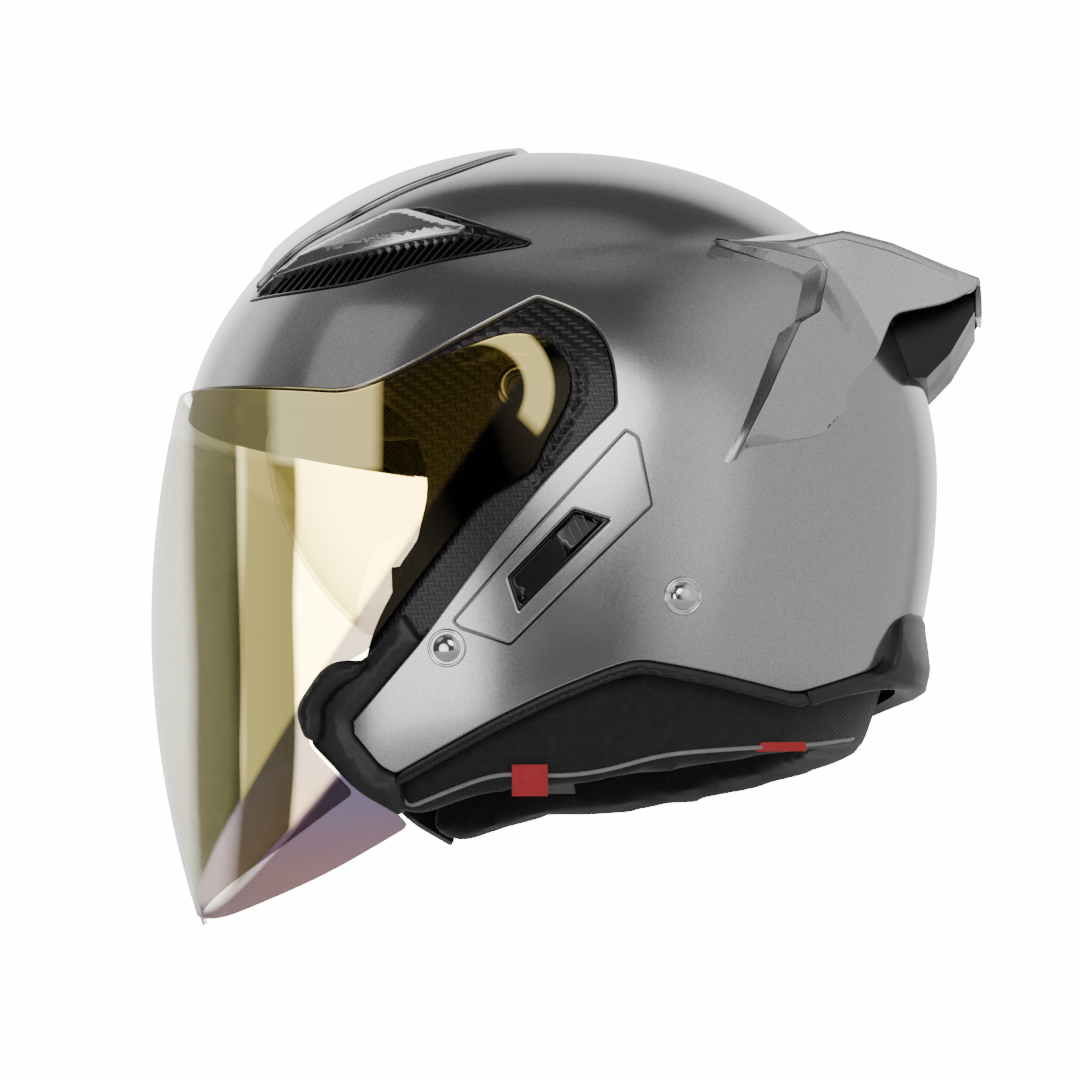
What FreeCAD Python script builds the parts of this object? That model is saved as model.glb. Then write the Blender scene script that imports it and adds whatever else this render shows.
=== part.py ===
import FreeCAD, Part
import math
import os
import Sketcher
from FreeCAD import Matrix, Placement, Rotation, Vector

# An open face motorcycle helmet, in millimetres. +Z is up, the wearer looks along -Y and the wearer's
# left is +X. The origin is the centre of the space for the head.
#
# The outer surface is a formula: every level is a closed superellipse whose half width, front reach and
# rear reach fall off towards the crown. Panels, trims and liners are cut from layers of that surface by
# outlines drawn in side view (y, z), so their edges match.

DIMENSIONS = {
    "shell_half_width": 125.0,
    "shell_front_reach": 144.0,
    "shell_rear_reach": 151.0,
    "shell_mid_y": -8.0,
    "widest_level": 15.0,
    "crown_rise": 127.0,
    "plan_power": 2.25,
    "shell_wall": 4.0,
    "head_half_width": 76.0,
    "head_half_length": 97.5,
    "head_half_rise": 90.0,
    "head_middle_y": 4.0,
    "head_middle_z": 6.0,
    "comfort_thickness": 8.0,
    "pivot_y": -10.0,
    "pivot_z": 36.0,
    "lens_thickness": 2.0,
    "lens_stand_off": 1.6,
    "base_plate_depth": 3.6,
    "base_plate_wall": 3.0,
    "cup_bore": 17.5,
    "cup_wall": 1.5,
    "cup_floor_x": 111.0,
    "cup_rim_x": 118.6,
    "post_radius": 5.0,
    "hub_radius": 14.0,
    "hub_length": 5.8,
    "hub_neck_radius": 9.0,
    "hub_neck_length": 8.6,
    "hub_bore_depth": 7.0,
    "spring_thickness": 2.5,
    "spring_width": 4.0,
    "hub_clearance": 0.05,
    "sun_pivot_y": -15.0,
    "sun_pivot_z": 35.0,
    "sun_reach": 101.0,
    "sun_half_width": 106.5,
    "sun_thickness": 2.0,
    "sun_ear_x": 101.0,
    "sun_pin_radius": 3.0,
    "cable_radius": 1.2,
    "knob_length": 13.0,
    "knob_width": 10.4,
    "knob_height": 3.0,
    "knob_stem_radius": 2.0,
    "knob_stem_length": 8.0,
    "rivet_head_radius": 5.2,
    "rivet_head_height": 2.2,
    "rivet_washer_radius": 7.2,
    "rivet_washer_height": 0.9,
    "rivet_shank_radius": 2.5,
    "rivet_shank_length": 7.0,
    "screw_head_radius": 3.0,
    "screw_head_height": 1.6,
    "screw_shank_radius": 1.5,
    "screw_shank_length": 6.0,
    "strap_width": 22.0,
    "strap_thickness": 1.6,
    "buckle_length": 34.0,
    "buckle_width": 25.0,
    "buckle_height": 9.0,
    "buckle_slot_width": 17.0,
    "buckle_slot_height": 3.4,
    "ladder_length": 62.0,
    "ladder_width": 16.0,
    "ladder_height": 2.4,
    "lever_length": 24.0,
    "lever_width": 14.0,
    "lever_height": 2.4,
    "lever_pin_radius": 1.5,
    "latch_length": 12.0,
    "latch_width": 7.0,
    "latch_height": 3.0,
    "top_knob_length": 12.0,
    "top_knob_width": 24.0,
    "top_knob_height": 3.4,
}

doc = FreeCAD.newDocument("open_face_helmet")
sheet = doc.addObject("Spreadsheet::Sheet", "Sizes")
for row, (alias, number) in enumerate(DIMENSIONS.items(), start=1):
    sheet.set(f"A{row}", alias)
    sheet.set(f"B{row}", str(number))
    sheet.setAlias(f"B{row}", alias)
doc.recompute()


def size(alias):
    return float(sheet.get(alias))


NODES = []


def node(item, label):
    """Name a document object as one sub-part of the helmet."""
    item.Label = label
    NODES.append(item)
    return item


def feature(label, shape, place=None):
    """A sub-part whose free-form shape no parametric feature covers."""
    item = doc.addObject("Part::Feature", label)
    item.Shape = shape
    item.Placement = place or Placement()
    return node(item, label)


# ---------------------------------------------------------------- outer surface

WIDTH = size("shell_half_width")
FRONT = size("shell_front_reach")
REAR = size("shell_rear_reach")
MID_Y = size("shell_mid_y")
WIDEST = size("widest_level")
RISE = size("crown_rise")
POWER = size("plan_power")
SKIRT = 115.0
FAR = 200.0


def dome(level, full, power):
    """How far a reach has shrunk at a level above the widest one."""
    return full * max(0.0, 1.0 - ((level - WIDEST) / RISE) ** power) ** (1.0 / power)


def half_width(level):
    if level > WIDEST:
        return dome(level, WIDTH, 2.3)
    return WIDTH - 12.0 * ((WIDEST - level) / SKIRT) ** 2


def front_reach(level):
    if level > WIDEST:
        return dome(level, FRONT, 2.05)
    return FRONT - 6.0 * ((WIDEST - level) / SKIRT) ** 2


def rear_reach(level):
    if level > WIDEST:
        return dome(level, REAR, 2.1)
    return REAR - 25.0 * ((WIDEST - level) / SKIRT) ** 2


def surface_x(along, level):
    """Half width of the shell at a place seen from the side."""
    reach = rear_reach(level) if along > MID_Y else front_reach(level)
    inside = 1.0 - (abs(along - MID_Y) / reach) ** POWER
    return half_width(level) * max(0.0, inside) ** (1.0 / POWER)


def surface_normal(along, level):
    step = 0.5
    by_y = (surface_x(along + step, level) - surface_x(along - step, level)) / (2.0 * step)
    by_z = (surface_x(along, level + step) - surface_x(along, level - step)) / (2.0 * step)
    return Vector(1.0, -by_y, -by_z).normalize()


def plan_wire(level, width, front, rear, count=28):
    """One level of a surface: a superellipse with its own front and rear reach."""
    points = []
    for index in range(count):
        angle = 2.0 * math.pi * index / count
        across = math.cos(angle)
        along = math.sin(angle)
        reach = rear if along > 0.0 else front
        x = width * math.copysign(abs(across) ** (2.0 / POWER), across)
        y = MID_Y + reach * math.copysign(abs(along) ** (2.0 / POWER), along)
        points.append(Vector(x, y, level))
    knots = [float(index) for index in range(count + 1)]
    curve = Part.BSplineCurve()
    curve.interpolate(Points=points, PeriodicFlag=True, Parameters=knots)
    return Part.Wire(curve.toShape())


def surface_solid():
    skirt_levels = [-200.0, -160.0, -120.0, -80.0, -40.0, -10.0]
    dome_levels = [WIDEST + RISE * math.sin(math.pi / 2.0 * step / 12.0) for step in range(12)]
    levels = skirt_levels + dome_levels + [WIDEST + RISE * 0.9988]
    wires = [plan_wire(z, half_width(z), front_reach(z), rear_reach(z)) for z in levels]
    return Part.makeLoft(wires, True, False, False)


SURFACE = surface_solid()
MIDDLE = Vector(0.0, MID_Y + (REAR - FRONT) / 2.0, WIDEST)


def scaled(shape, across, along, up, middle):
    """A shape stretched about a point by three factors."""
    matrix = Matrix()
    matrix.A11 = across
    matrix.A22 = along
    matrix.A33 = up
    matrix.A14 = middle.x * (1.0 - across)
    matrix.A24 = middle.y * (1.0 - along)
    matrix.A34 = middle.z * (1.0 - up)
    return shape.transformGeometry(matrix)


def skin(gap, gap_along=None):
    """The solid inside the outer surface moved inwards by a gap, or outwards by a negative one."""
    along = gap if gap_along is None else gap_along
    length = (FRONT + REAR) / 2.0
    return scaled(SURFACE, 1.0 - gap / WIDTH, 1.0 - along / length, 1.0 - gap / RISE, MIDDLE)


def prism(outline, x_low=-FAR, x_high=FAR):
    """An outline of (y, z) points in side view, as a solid from one x to another."""
    corners = [Vector(x_low, y, z) for y, z in outline]
    face = Part.Face(Part.makePolygon(corners + corners[:1]))
    return face.extrude(Vector(x_high - x_low, 0.0, 0.0))


def plan_prism(outline, z_low, z_high):
    """An outline of (x, y) points in plan, as a solid from one level to another."""
    corners = [Vector(x, y, z_low) for x, y in outline]
    face = Part.Face(Part.makePolygon(corners + corners[:1]))
    return face.extrude(Vector(0.0, 0.0, z_high - z_low))


def layer(outline, outer_gap, inner_gap, x_low=5.0, x_high=FAR):
    """The part of a layer of the surface that an outline covers, on the wearer's left."""
    return prism(outline, x_low, x_high).common(skin(outer_gap)).cut(skin(inner_gap))


def mirrored(shape):
    return shape.mirror(Vector(0.0, 0.0, 0.0), Vector(1.0, 0.0, 0.0))


def pair(name, shape):
    """A sub-part on the wearer's left and its mirror image on the right."""
    feature(f"{name}_left", shape)
    feature(f"{name}_right", mirrored(shape))


def tube_x(radius, x_low, x_high, y, z):
    return Part.makeCylinder(radius, x_high - x_low, Vector(x_low, y, z), Vector(1.0, 0.0, 0.0))


# ---------------------------------------------------------------- outlines in side view (y, z)

# The rim of the shell round the face, from the brow back round the visor's pivot and down to the jaw.
RIM = [
    (-150.0, 47.5),
    (-115.0, 41.0),
    (-75.0, 35.6),
    (-61.0, 40.0),
    (-51.0, 44.6),
    (-32.0, 54.8),
    (-3.3, 70.4),
    (10.6, 65.1),
    (18.4, 59.0),
    (23.3, 50.4),
    (25.6, 39.7),
    (26.1, 28.0),
    (-0.5, 0.5),
    (-35.5, -43.2),
    (-46.5, -57.6),
    (-73.3, -86.5),
]
# The shell's lower edge, from the jaw's front corner to the nape.
HEM = [
    (-73.0, -91.3),
    (-63.0, -103.6),
    (-57.0, -106.6),
    (-18.5, -86.5),
    (2.3, -76.8),
    (23.3, -68.4),
    (34.0, -65.2),
    (58.5, -69.3),
    (90.6, -76.1),
    (104.8, -71.0),
    (121.0, -64.0),
    (129.2, -44.2),
    (136.0, -40.7),
]
OPENING = [(-FAR, 47.5)] + RIM + HEM + [(FAR, -40.7), (FAR, -FAR), (-FAR, -FAR)]

LENS = [
    (-FAR, 48.0),
    (-150.0, 48.0),
    (-115.0, 40.4),
    (-75.0, 35.0),
    (-61.0, 39.0),
    (-51.0, 43.6),
    (-30.0, 50.6),
    (-14.5, 56.0),
    (-3.0, 55.2),
    (5.0, 49.8),
    (9.7, 42.0),
    (10.2, 34.0),
    (7.6, 26.0),
    (1.8, 16.5),
    (-4.1, 3.5),
    (-22.2, -6.2),
    (-30.0, -15.0),
    (-48.0, -37.0),
    (-66.5, -60.7),
    (-78.0, -66.5),
    (-90.6, -79.6),
    (-91.0, -95.0),
    (-73.5, -113.5),
    (-103.2, -132.7),
    (-131.0, -148.0),
    (-144.4, -156.0),
    (-FAR, -157.0),
]
BASE_PLATE_FRONT = [(-73.0, -78.0), (-66.0, -52.0), (-50.0, -25.0), (-44.0, 0.0), (-50.0, 22.0),
                    (-68.0, 36.0)]
FRONT_TRIM = [
    (-47.0, -58.2),
    (-54.0, -47.5),
    (-65.5, -62.0),
    (-77.0, -68.0),
    (-89.0, -80.0),
    (-89.5, -94.5),
    (-72.0, -112.6),
    (-55.6, -122.0),
    (-55.3, -110.7),
    (-57.0, -106.8),
    (-63.0, -103.8),
    (-73.2, -91.4),
    (-73.6, -86.6),
]
BAND = 4.6
REAR_TRIM = [
    (95.0, -74.8),
    (104.8, -71.0),
    (121.0, -64.0),
    (129.2, -44.2),
    (136.0, -40.7),
    (137.4, -45.4),
    (140.4, -57.8),
    (138.8, -65.6),
    (133.8, -69.0),
    (122.0, -70.4),
    (105.0, -76.0),
    (95.0, -79.8),
]
SCOOP = [
    (-118.0, 77.8),
    (-108.7, 85.9),
    (-102.0, 92.3),
    (-61.7, 108.9),
    (-48.7, 109.4),
    (-6.5, 92.5),
    (-8.6, 90.9),
    (-42.7, 85.2),
    (-63.2, 80.2),
    (-75.7, 78.0),
    (-95.0, 77.0),
]
BLADE = [
    (-108.0, 86.0),
    (-97.6, 94.0),
    (-61.7, 108.2),
    (-55.3, 107.9),
    (-31.4, 99.2),
    (-33.5, 96.7),
    (-62.3, 92.9),
    (-80.0, 90.0),
]
SIDE_PLATE = [(-34.4, -50.9), (29.7, 19.1), (34.0, 16.5), (38.8, -8.6), (-13.3, -59.5), (-31.5, -53.5)]
WINDOW = [(-13.9, -35.0), (10.6, -10.2), (23.8, -14.2), (-9.9, -47.5)]
SPOILER_LEG = [
    (99.0, 96.0),
    (103.0, 84.0),
    (99.5, 67.0),
    (92.0, 61.5),
    (66.5, 7.6),
    (73.0, 13.3),
    (100.3, 19.4),
    (110.6, 31.2),
    (107.3, 48.0),
    (113.7, 66.0),
    (126.0, 76.0),
    (126.0, 96.0),
]
DIFFUSER = [
    (121.0, 57.0),
    (127.5, 70.5),
    (140.0, 80.0),
    (157.6, 80.0),
    (158.1, 74.1),
    (148.7, 58.1),
    (139.7, 48.8),
    (120.0, 48.8),
]
NECK_ROLL = [
    (-58.0, -100.0),
    (-22.0, -80.0),
    (20.0, -64.5),
    (45.0, -60.5),
    (110.0, -56.0),
    (126.0, -54.0),
    (134.0, -69.5),
    (128.5, -80.5),
    (118.0, -87.0),
    (102.0, -92.0),
    (82.0, -97.0),
    (56.0, -102.0),
    (29.0, -107.0),
    (0.0, -111.0),
    (-22.0, -113.0),
    (-36.0, -117.0),
    (-48.0, -121.5),
    (-57.0, -121.0),
    (-63.5, -115.0),
]
CHEEK_FOAM = [(-58.0, -30.0), (52.0, -30.0), (46.0, -59.5), (20.0, -63.5), (-22.0, -79.0), (-57.0, -98.0)]
CHEEK_PAD = [(-64.0, -98.0), (-60.0, -30.0), (-42.0, 4.0), (-10.0, 6.0), (40.0, -20.0),
             (50.0, -70.0), (10.0, -92.0)]


# ---------------------------------------------------------------- head space

def head_space(grow):
    """The head, with a grown skin: half an ellipsoid on an elliptic column."""
    across = size("head_half_width") + grow
    along = size("head_half_length") + grow
    rise = size("head_half_rise") + grow
    middle = Vector(0.0, size("head_middle_y"), size("head_middle_z"))
    ball = scaled(Part.makeSphere(1.0, middle), across, along, rise, middle)
    column = Part.makeCylinder(1.0, 1.0, middle, Vector(0.0, 0.0, -1.0))
    column = scaled(column, across, along, FAR, middle)
    return ball.fuse(column)


COMFORT = size("comfort_thickness")
PIVOT_Y = size("pivot_y")
PIVOT_Z = size("pivot_z")


# ---------------------------------------------------------------- straps

def strap_run(start, end, width_way, wide, thick):
    """A flat strap from one point to another, its width along a given way."""
    sections = []
    run = (end - start).normalize()
    for point in (start, end):
        side = width_way - run * width_way.dot(run)
        side.normalize()
        face_way = run.cross(side)
        corners = []
        for across, deep in ((-1, -1), (1, -1), (1, 1), (-1, 1)):
            corners.append(point + side * (across * wide / 2.0) + face_way * (deep * thick / 2.0))
        sections.append(Part.makePolygon(corners + corners[:1]))
    return Part.makeLoft(sections, True, True, False)


RIVET_PLACES = {"front": (-36.8, -60.7), "rear": (50.2, -41.8)}
STRAP_JOIN = Vector(66.0, -6.0, -80.0)
STRAP_CHIN = Vector(33.0, -8.0, -84.0)
STRAP_RIGHT_END = Vector(38.0, -8.0, -88.0)


def strap_shape(grow):
    """A Y strap: one leg from each rivet to the join at the jaw, and a tail towards the buckle."""
    wide = size("strap_width") + 2.0 * grow
    thick = size("strap_thickness") + 2.0 * grow
    legs = []
    for along, level in RIVET_PLACES.values():
        inwards = surface_normal(along, level) * -7.0
        anchor = Vector(surface_x(along, level), along, level) + inwards
        legs.append(strap_run(anchor, STRAP_JOIN, Vector(0.0, 1.0, 0.0), wide, thick))
    tail = strap_run(STRAP_JOIN, STRAP_CHIN, Vector(0.0, 1.0, 0.0), wide, thick)
    return legs[0].fuse(legs[1]).fuse(tail)


STRAP = strap_shape(0.0)
STRAP_ROOM = strap_shape(1.2)


# ---------------------------------------------------------------- small turned and padded pieces

def new_body(label):
    body = doc.addObject("PartDesign::Body", label)
    return node(body, label)


def flat_sketch(body, role="XY_Plane"):
    """A sketch on one of the body's own origin planes."""
    sketch = body.newObject("Sketcher::SketchObject", f"{body.Label}_sketch")
    plane = [item for item in body.Origin.OriginFeatures if item.Role == role][0]
    sketch.AttachmentSupport = [(plane, "")]
    sketch.MapMode = "FlatFace"
    return sketch


def draw_circle(sketch, radius):
    circle = sketch.addGeometry(Part.Circle(Vector(), Vector(0.0, 0.0, 1.0), size(radius)))
    sketch.addConstraint(Sketcher.Constraint("Coincident", circle, 3, -1, 1))
    index = sketch.addConstraint(Sketcher.Constraint("Radius", circle, size(radius)))
    sketch.setExpression(f"Constraints[{index}]", f"Sizes.{radius}")


def draw_rectangle(sketch, wide, tall):
    """A rectangle centred on the sketch's origin, its sides bound to the sheet."""
    x = size(wide) / 2.0
    y = size(tall) / 2.0
    corners = [Vector(-x, -y, 0.0), Vector(x, -y, 0.0), Vector(x, y, 0.0), Vector(-x, y, 0.0)]
    lines = []
    for index in range(4):
        lines.append(sketch.addGeometry(Part.LineSegment(corners[index], corners[(index + 1) % 4])))
    for index in range(4):
        follow = lines[(index + 1) % 4]
        sketch.addConstraint(Sketcher.Constraint("Coincident", lines[index], 2, follow, 1))
        way = "Horizontal" if index % 2 == 0 else "Vertical"
        sketch.addConstraint(Sketcher.Constraint(way, lines[index]))
    sketch.addConstraint(Sketcher.Constraint("Symmetric", lines[0], 1, lines[1], 2, -1, 1))
    across = sketch.addConstraint(Sketcher.Constraint("DistanceX", lines[0], 1, lines[0], 2, 2.0 * x))
    upright = sketch.addConstraint(Sketcher.Constraint("DistanceY", lines[1], 1, lines[1], 2, 2.0 * y))
    sketch.setExpression(f"Constraints[{across}]", f"Sizes.{wide}")
    sketch.setExpression(f"Constraints[{upright}]", f"Sizes.{tall}")


def pad(body, sketch, length, name="pad", downwards=False):
    step = body.newObject("PartDesign::Pad", f"{body.Label}_{name}")
    step.Profile = sketch
    step.Reversed = downwards
    step.setExpression("Length", f"Sizes.{length}")
    return step


def placed_cylinder(name, radius, height, place):
    """A cylinder whose radius and height are expressions of the sheet's cells."""
    item = doc.addObject("Part::Cylinder", name)
    item.setExpression("Radius", radius)
    item.setExpression("Height", height)
    item.Placement = place
    return item


def fused(name, shapes):
    item = doc.addObject("Part::MultiFuse", name)
    item.Shapes = shapes
    return item


def cut_away(name, base, tool):
    item = doc.addObject("Part::Cut", name)
    item.Base = base
    item.Tool = tool
    return item


def facing(point, way, shift=0.0):
    """A placement whose z axis points a given way from a point."""
    return Placement(point + way * shift, Rotation(Vector(0.0, 0.0, 1.0), way))


def group(label, parts):
    item = doc.addObject("Part::Compound", label)
    item.Links = parts
    return node(item, label)


# ---------------------------------------------------------------- sun visor

SUN_PIVOT = Vector(0.0, size("sun_pivot_y"), size("sun_pivot_z"))


def barrel(reach, half_span, x_end):
    """A barrel about the sun visor's hinge line: its radius falls off towards both ears."""
    points = []
    count = 12
    for index in range(count + 1):
        x = x_end * math.sin(math.pi / 2.0 * index / count)
        radius = reach * (1.0 - (x / half_span) ** 2.5) ** 0.4
        points.append(Vector(x, SUN_PIVOT.y - radius, SUN_PIVOT.z))
    mirror_points = [Vector(-point.x, point.y, point.z) for point in reversed(points[1:])]
    curve = Part.BSplineCurve()
    curve.interpolate(mirror_points + points)
    first = mirror_points[0]
    last = points[-1]
    ends = [Vector(last.x, SUN_PIVOT.y, SUN_PIVOT.z), Vector(first.x, SUN_PIVOT.y, SUN_PIVOT.z)]
    edges = [
        curve.toShape(),
        Part.makeLine(last, ends[0]),
        Part.makeLine(ends[0], ends[1]),
        Part.makeLine(ends[1], first),
    ]
    face = Part.Face(Part.Wire(edges))
    return face.revolve(SUN_PIVOT, Vector(1.0, 0.0, 0.0), 360.0)


def sector(low_angle, high_angle, reach=FAR):
    """A wedge in front of the sun visor's hinge line, its angles up from level in degrees."""
    steps = 6
    outline = [(SUN_PIVOT.y, SUN_PIVOT.z)]
    for index in range(steps + 1):
        angle = math.radians(low_angle + (high_angle - low_angle) * index / steps)
        outline.append((SUN_PIVOT.y - reach * math.cos(angle), SUN_PIVOT.z + reach * math.sin(angle)))
    return outline


SUN_REACH = size("sun_reach")
SUN_SPAN = size("sun_half_width")
SUN_WALL = size("sun_thickness")
EAR_X = size("sun_ear_x")


def sun_visor_shape():
    outer = barrel(SUN_REACH + SUN_WALL, SUN_SPAN + SUN_WALL, EAR_X + SUN_WALL)
    inner = barrel(SUN_REACH, SUN_SPAN, EAR_X)
    sheet_part = outer.cut(inner).common(prism(sector(-57.0, 8.0)))
    notch = Part.makeCylinder(30.0, FAR, Vector(0.0, 0.0, -68.0), Vector(0.0, -1.0, 0.0))
    sheet_part = sheet_part.cut(notch)
    lower_corner = [(-20.0, -70.0), (-20.0, -8.0), (-66.0, -17.0), (-98.0, -70.0)]
    sheet_part = sheet_part.cut(prism(lower_corner))
    hole = tube_x(size("sun_pin_radius") + 0.05, -FAR, FAR, SUN_PIVOT.y, SUN_PIVOT.z)
    for low_x in (EAR_X, -EAR_X - SUN_WALL):
        eye = tube_x(8.0, low_x, low_x + SUN_WALL, SUN_PIVOT.y, SUN_PIVOT.z)
        sheet_part = sheet_part.fuse(eye)
    return sheet_part.cut(hole)


CABLE_POINTS = [
    Vector(112.4, 3.0, -24.0),
    Vector(110.4, 8.0, -8.0),
    Vector(109.2, 2.0, 8.0),
    Vector(109.2, -12.0, 14.5),
]


def rounded_path(points):
    """Straight runs joined by arcs that touch them."""
    edges = []
    start = points[0]
    for before, corner, after in zip(points, points[1:], points[2:]):
        back = (before - corner).normalize()
        ahead = (after - corner).normalize()
        reach = 0.45 * min((before - corner).Length, (after - corner).Length)
        bend_in = corner + back * reach
        bend_out = corner + ahead * reach
        radius = reach / math.tan((math.pi - back.getAngle(ahead)) / 2.0)
        centre = corner + (back + ahead).normalize() * math.hypot(radius, reach)
        middle = centre + (corner - centre).normalize() * radius
        edges.append(Part.LineSegment(start, bend_in).toShape())
        edges.append(Part.Arc(bend_in, middle, bend_out).toShape())
        start = bend_out
    edges.append(Part.LineSegment(start, points[-1]).toShape())
    return Part.Wire(edges)


def tube_along(points, radius):
    path = rounded_path(points)
    way = (points[1] - points[0]).normalize()
    section = Part.Wire(Part.makeCircle(radius, points[0], way))
    return path.makePipeShell([section], True, False)


# ---------------------------------------------------------------- shell and liners

SHELL_WALL = size("shell_wall")
PLATE_OUT = size("base_plate_depth")
PLATE_IN = PLATE_OUT + size("base_plate_wall")
PLATE_OUTLINE = RIM[3:] + BASE_PLATE_FRONT
SCREW_PLACES = [(15.0, 52.0), (15.0, 22.0), (-36.0, -30.0)]
TRIM_OUT = -0.6
TRIM_IN = 6.0
FASTENER_ROOM_DEPTH = 12.5
FASTENER_ROOM_RADIUS = 7.0
SLIDE_REST = Vector(0.0, 8.1, -21.2)
SLIDE_WAY = Vector(0.0, 0.698, 0.716)
SLIDE_TRAVEL = 18.1
SLOT_HALF = 3.0
SLOT_ENDS = 3.5
SLIDE_ROOM_HALF = 7.0
SLIDE_ROOM_ENDS = 10.0


def slide_slot(ends, half, x_low, x_high):
    """A straight slot along the side slider's way, in side view, longer than its travel at both ends."""
    across = Vector(0.0, -SLIDE_WAY.z, SLIDE_WAY.y)
    outline = []
    back = SLIDE_TRAVEL + ends
    for along, side in ((-back, -1), (ends, -1), (ends, 1), (-back, 1)):
        corner = SLIDE_REST + SLIDE_WAY * along + across * (side * half)
        outline.append((corner.y, corner.z))
    return prism(outline, x_low, x_high)


def rivet_holes(shape):
    for along, level in RIVET_PLACES.values():
        normal = surface_normal(along, level)
        point = Vector(surface_x(along, level), along, level) - normal * 9.0
        hole = Part.makeCylinder(size("rivet_shank_radius") + 0.05, 12.0, point, normal)
        shape = shape.cut(hole).cut(mirrored(hole))
    return shape


def outer_shell_shape():
    shape = skin(0.0).cut(skin(SHELL_WALL)).cut(prism(OPENING))
    for x_low, x_high in ((20.0, FAR), (-FAR, -20.0)):
        shape = shape.cut(prism(SCOOP, x_low, x_high))
        shape = shape.cut(prism(WINDOW, x_low, x_high))
    vent = Part.makeBox(36.0, 8.0, 60.0, Vector(-18.0, -84.0, 100.0))
    return rivet_holes(shape.cut(vent))


def eps_liner_shape():
    """The impact liner: thick all round, thin behind the brow where the sun visor is stored."""
    shape = skin(SHELL_WALL + 0.3).cut(head_space(COMFORT + 0.3))
    face = [(-FAR, 52.0), (-82.0, 52.0), (-58.0, 44.0), (-44.0, 20.0), (-46.0, -12.0), (-60.0, -28.0)]
    nape = [(54.0, -28.0), (62.0, -55.0), (FAR, -52.0), (FAR, -FAR), (-FAR, -FAR)]
    shape = shape.cut(prism(face + nape))
    store = prism(sector(-100.0, 66.0)).cut(barrel(SUN_REACH - 1.5, SUN_SPAN - 1.5, EAR_X - 1.5))
    shape = shape.cut(store)
    zone = [(-80.0, 64.0), (-30.0, 74.0), (28.0, 72.0), (34.0, 26.0), (4.0, -4.0), (-12.0, -28.0),
            (-80.0, -60.0)]
    for x_low, x_high in ((EAR_X - 2.0, FAR), (-FAR, 2.0 - EAR_X)):
        shape = shape.cut(prism(zone, x_low, x_high))
        shape = shape.cut(slide_slot(SLIDE_ROOM_ENDS, SLIDE_ROOM_HALF, x_low + 10.0, x_high - 10.0))
    scoop_room = layer(SCOOP, 0.0, 5.4, 20.0)
    for room in (scoop_room, STRAP_ROOM):
        shape = shape.cut(room).cut(mirrored(room))
    vent = Part.makeBox(30.0, 6.0, 60.0, Vector(-15.0, -83.0, 90.0))
    return largest(shape.cut(vent).cut(tube_along(CABLE_POINTS, size("cable_radius") + 0.8)))


def crown_pad_shape():
    cap = Part.makeBox(2.0 * FAR, 2.0 * FAR, FAR, Vector(-FAR, -FAR, 22.0))
    shape = head_space(COMFORT).cut(head_space(0.5)).common(cap)
    return shape.cut(prism([(-FAR, 0.0), (-FAR, 50.0), (-84.0, 50.0), (-70.0, 0.0)]))


def cheek_foam_shape():
    shape = prism(CHEEK_FOAM, 5.0, FAR).common(skin(SHELL_WALL + 0.5)).cut(head_space(COMFORT + 0.5))
    shape = shape.cut(STRAP_ROOM)
    shape = shape.cut(layer(PLATE_OUTLINE, 0.0, PLATE_IN + 0.6)).cut(layer(FRONT_TRIM, -1.0, TRIM_IN + 0.5))
    for along, level in list(RIVET_PLACES.values()) + SCREW_PLACES:
        normal = surface_normal(along, level)
        point = Vector(surface_x(along, level), along, level) - normal * FASTENER_ROOM_DEPTH
        shape = shape.cut(Part.makeCylinder(FASTENER_ROOM_RADIUS, FASTENER_ROOM_DEPTH - 3.5, point, normal))
    return largest(shape.cut(slide_slot(SLIDE_ROOM_ENDS, SLIDE_ROOM_HALF, 109.0, FAR)))


def largest(shape):
    """The biggest solid of a cut shape, without its loose crumbs."""
    return max(shape.Solids, key=lambda solid: solid.Volume)


def neck_roll_shape():
    """The padded roll under the rim: round the nape and forward to both jaw corners."""
    shape = prism(NECK_ROLL).common(skin(8.0)).cut(skin(24.0))
    return shape.cut(STRAP_ROOM).cut(mirrored(STRAP_ROOM))


feature("outer_shell", outer_shell_shape())
feature("eps_liner", eps_liner_shape())
feature("crown_pad", crown_pad_shape())
pair("cheek_foam", cheek_foam_shape())
cheek_pad = prism(CHEEK_PAD, 5.0, FAR).common(head_space(COMFORT - 0.3)).cut(head_space(-14.0))
pair("cheek_pad", largest(cheek_pad.cut(STRAP_ROOM)))
feature("neck_roll", largest(neck_roll_shape()))

# ---------------------------------------------------------------- edge trims

GASKET = [(-FAR, 47.2), (-150.0, 47.2), (-115.0, 40.7), (-76.0, 35.2), (-72.0, 31.0), (-115.0, 35.6),
          (-FAR, 42.4)]
feature("brow_gasket", prism(GASKET).common(skin(1.2)).cut(skin(6.0)))
pair("front_trim", layer(FRONT_TRIM, TRIM_OUT, TRIM_IN))
upper_band = [(-55.2, -106.0)] + HEM[3:9] + [(94.8, -75.0)]
lower_band = [(y, z - BAND) for y, z in reversed(upper_band)]
pair("side_trim", layer(upper_band + lower_band, TRIM_OUT, TRIM_IN))
feature("rear_trim", prism(REAR_TRIM).common(skin(TRIM_OUT, -12.0)).cut(skin(SHELL_WALL)))

# ---------------------------------------------------------------- visor and its mechanism

LENS_WALL = size("lens_thickness")
LENS_OUT = size("lens_stand_off")


def lens_reach(level):
    """The visor bows forward of the shell, most of all at mouth height."""
    return FRONT + 10.6 - 0.0014 * (level + 40.0) ** 2


def lens_solid(inset):
    levels = [-160.0, -130.0, -100.0, -70.0, -40.0, -10.0, 15.0, 30.0, 45.0, 60.0]
    wires = []
    for z in levels:
        wide = half_width(z) + LENS_OUT - inset
        wires.append(plan_wire(z, wide, lens_reach(z) - inset, rear_reach(z) + LENS_OUT - inset))
    return Part.makeLoft(wires, True, False, False)


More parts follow.
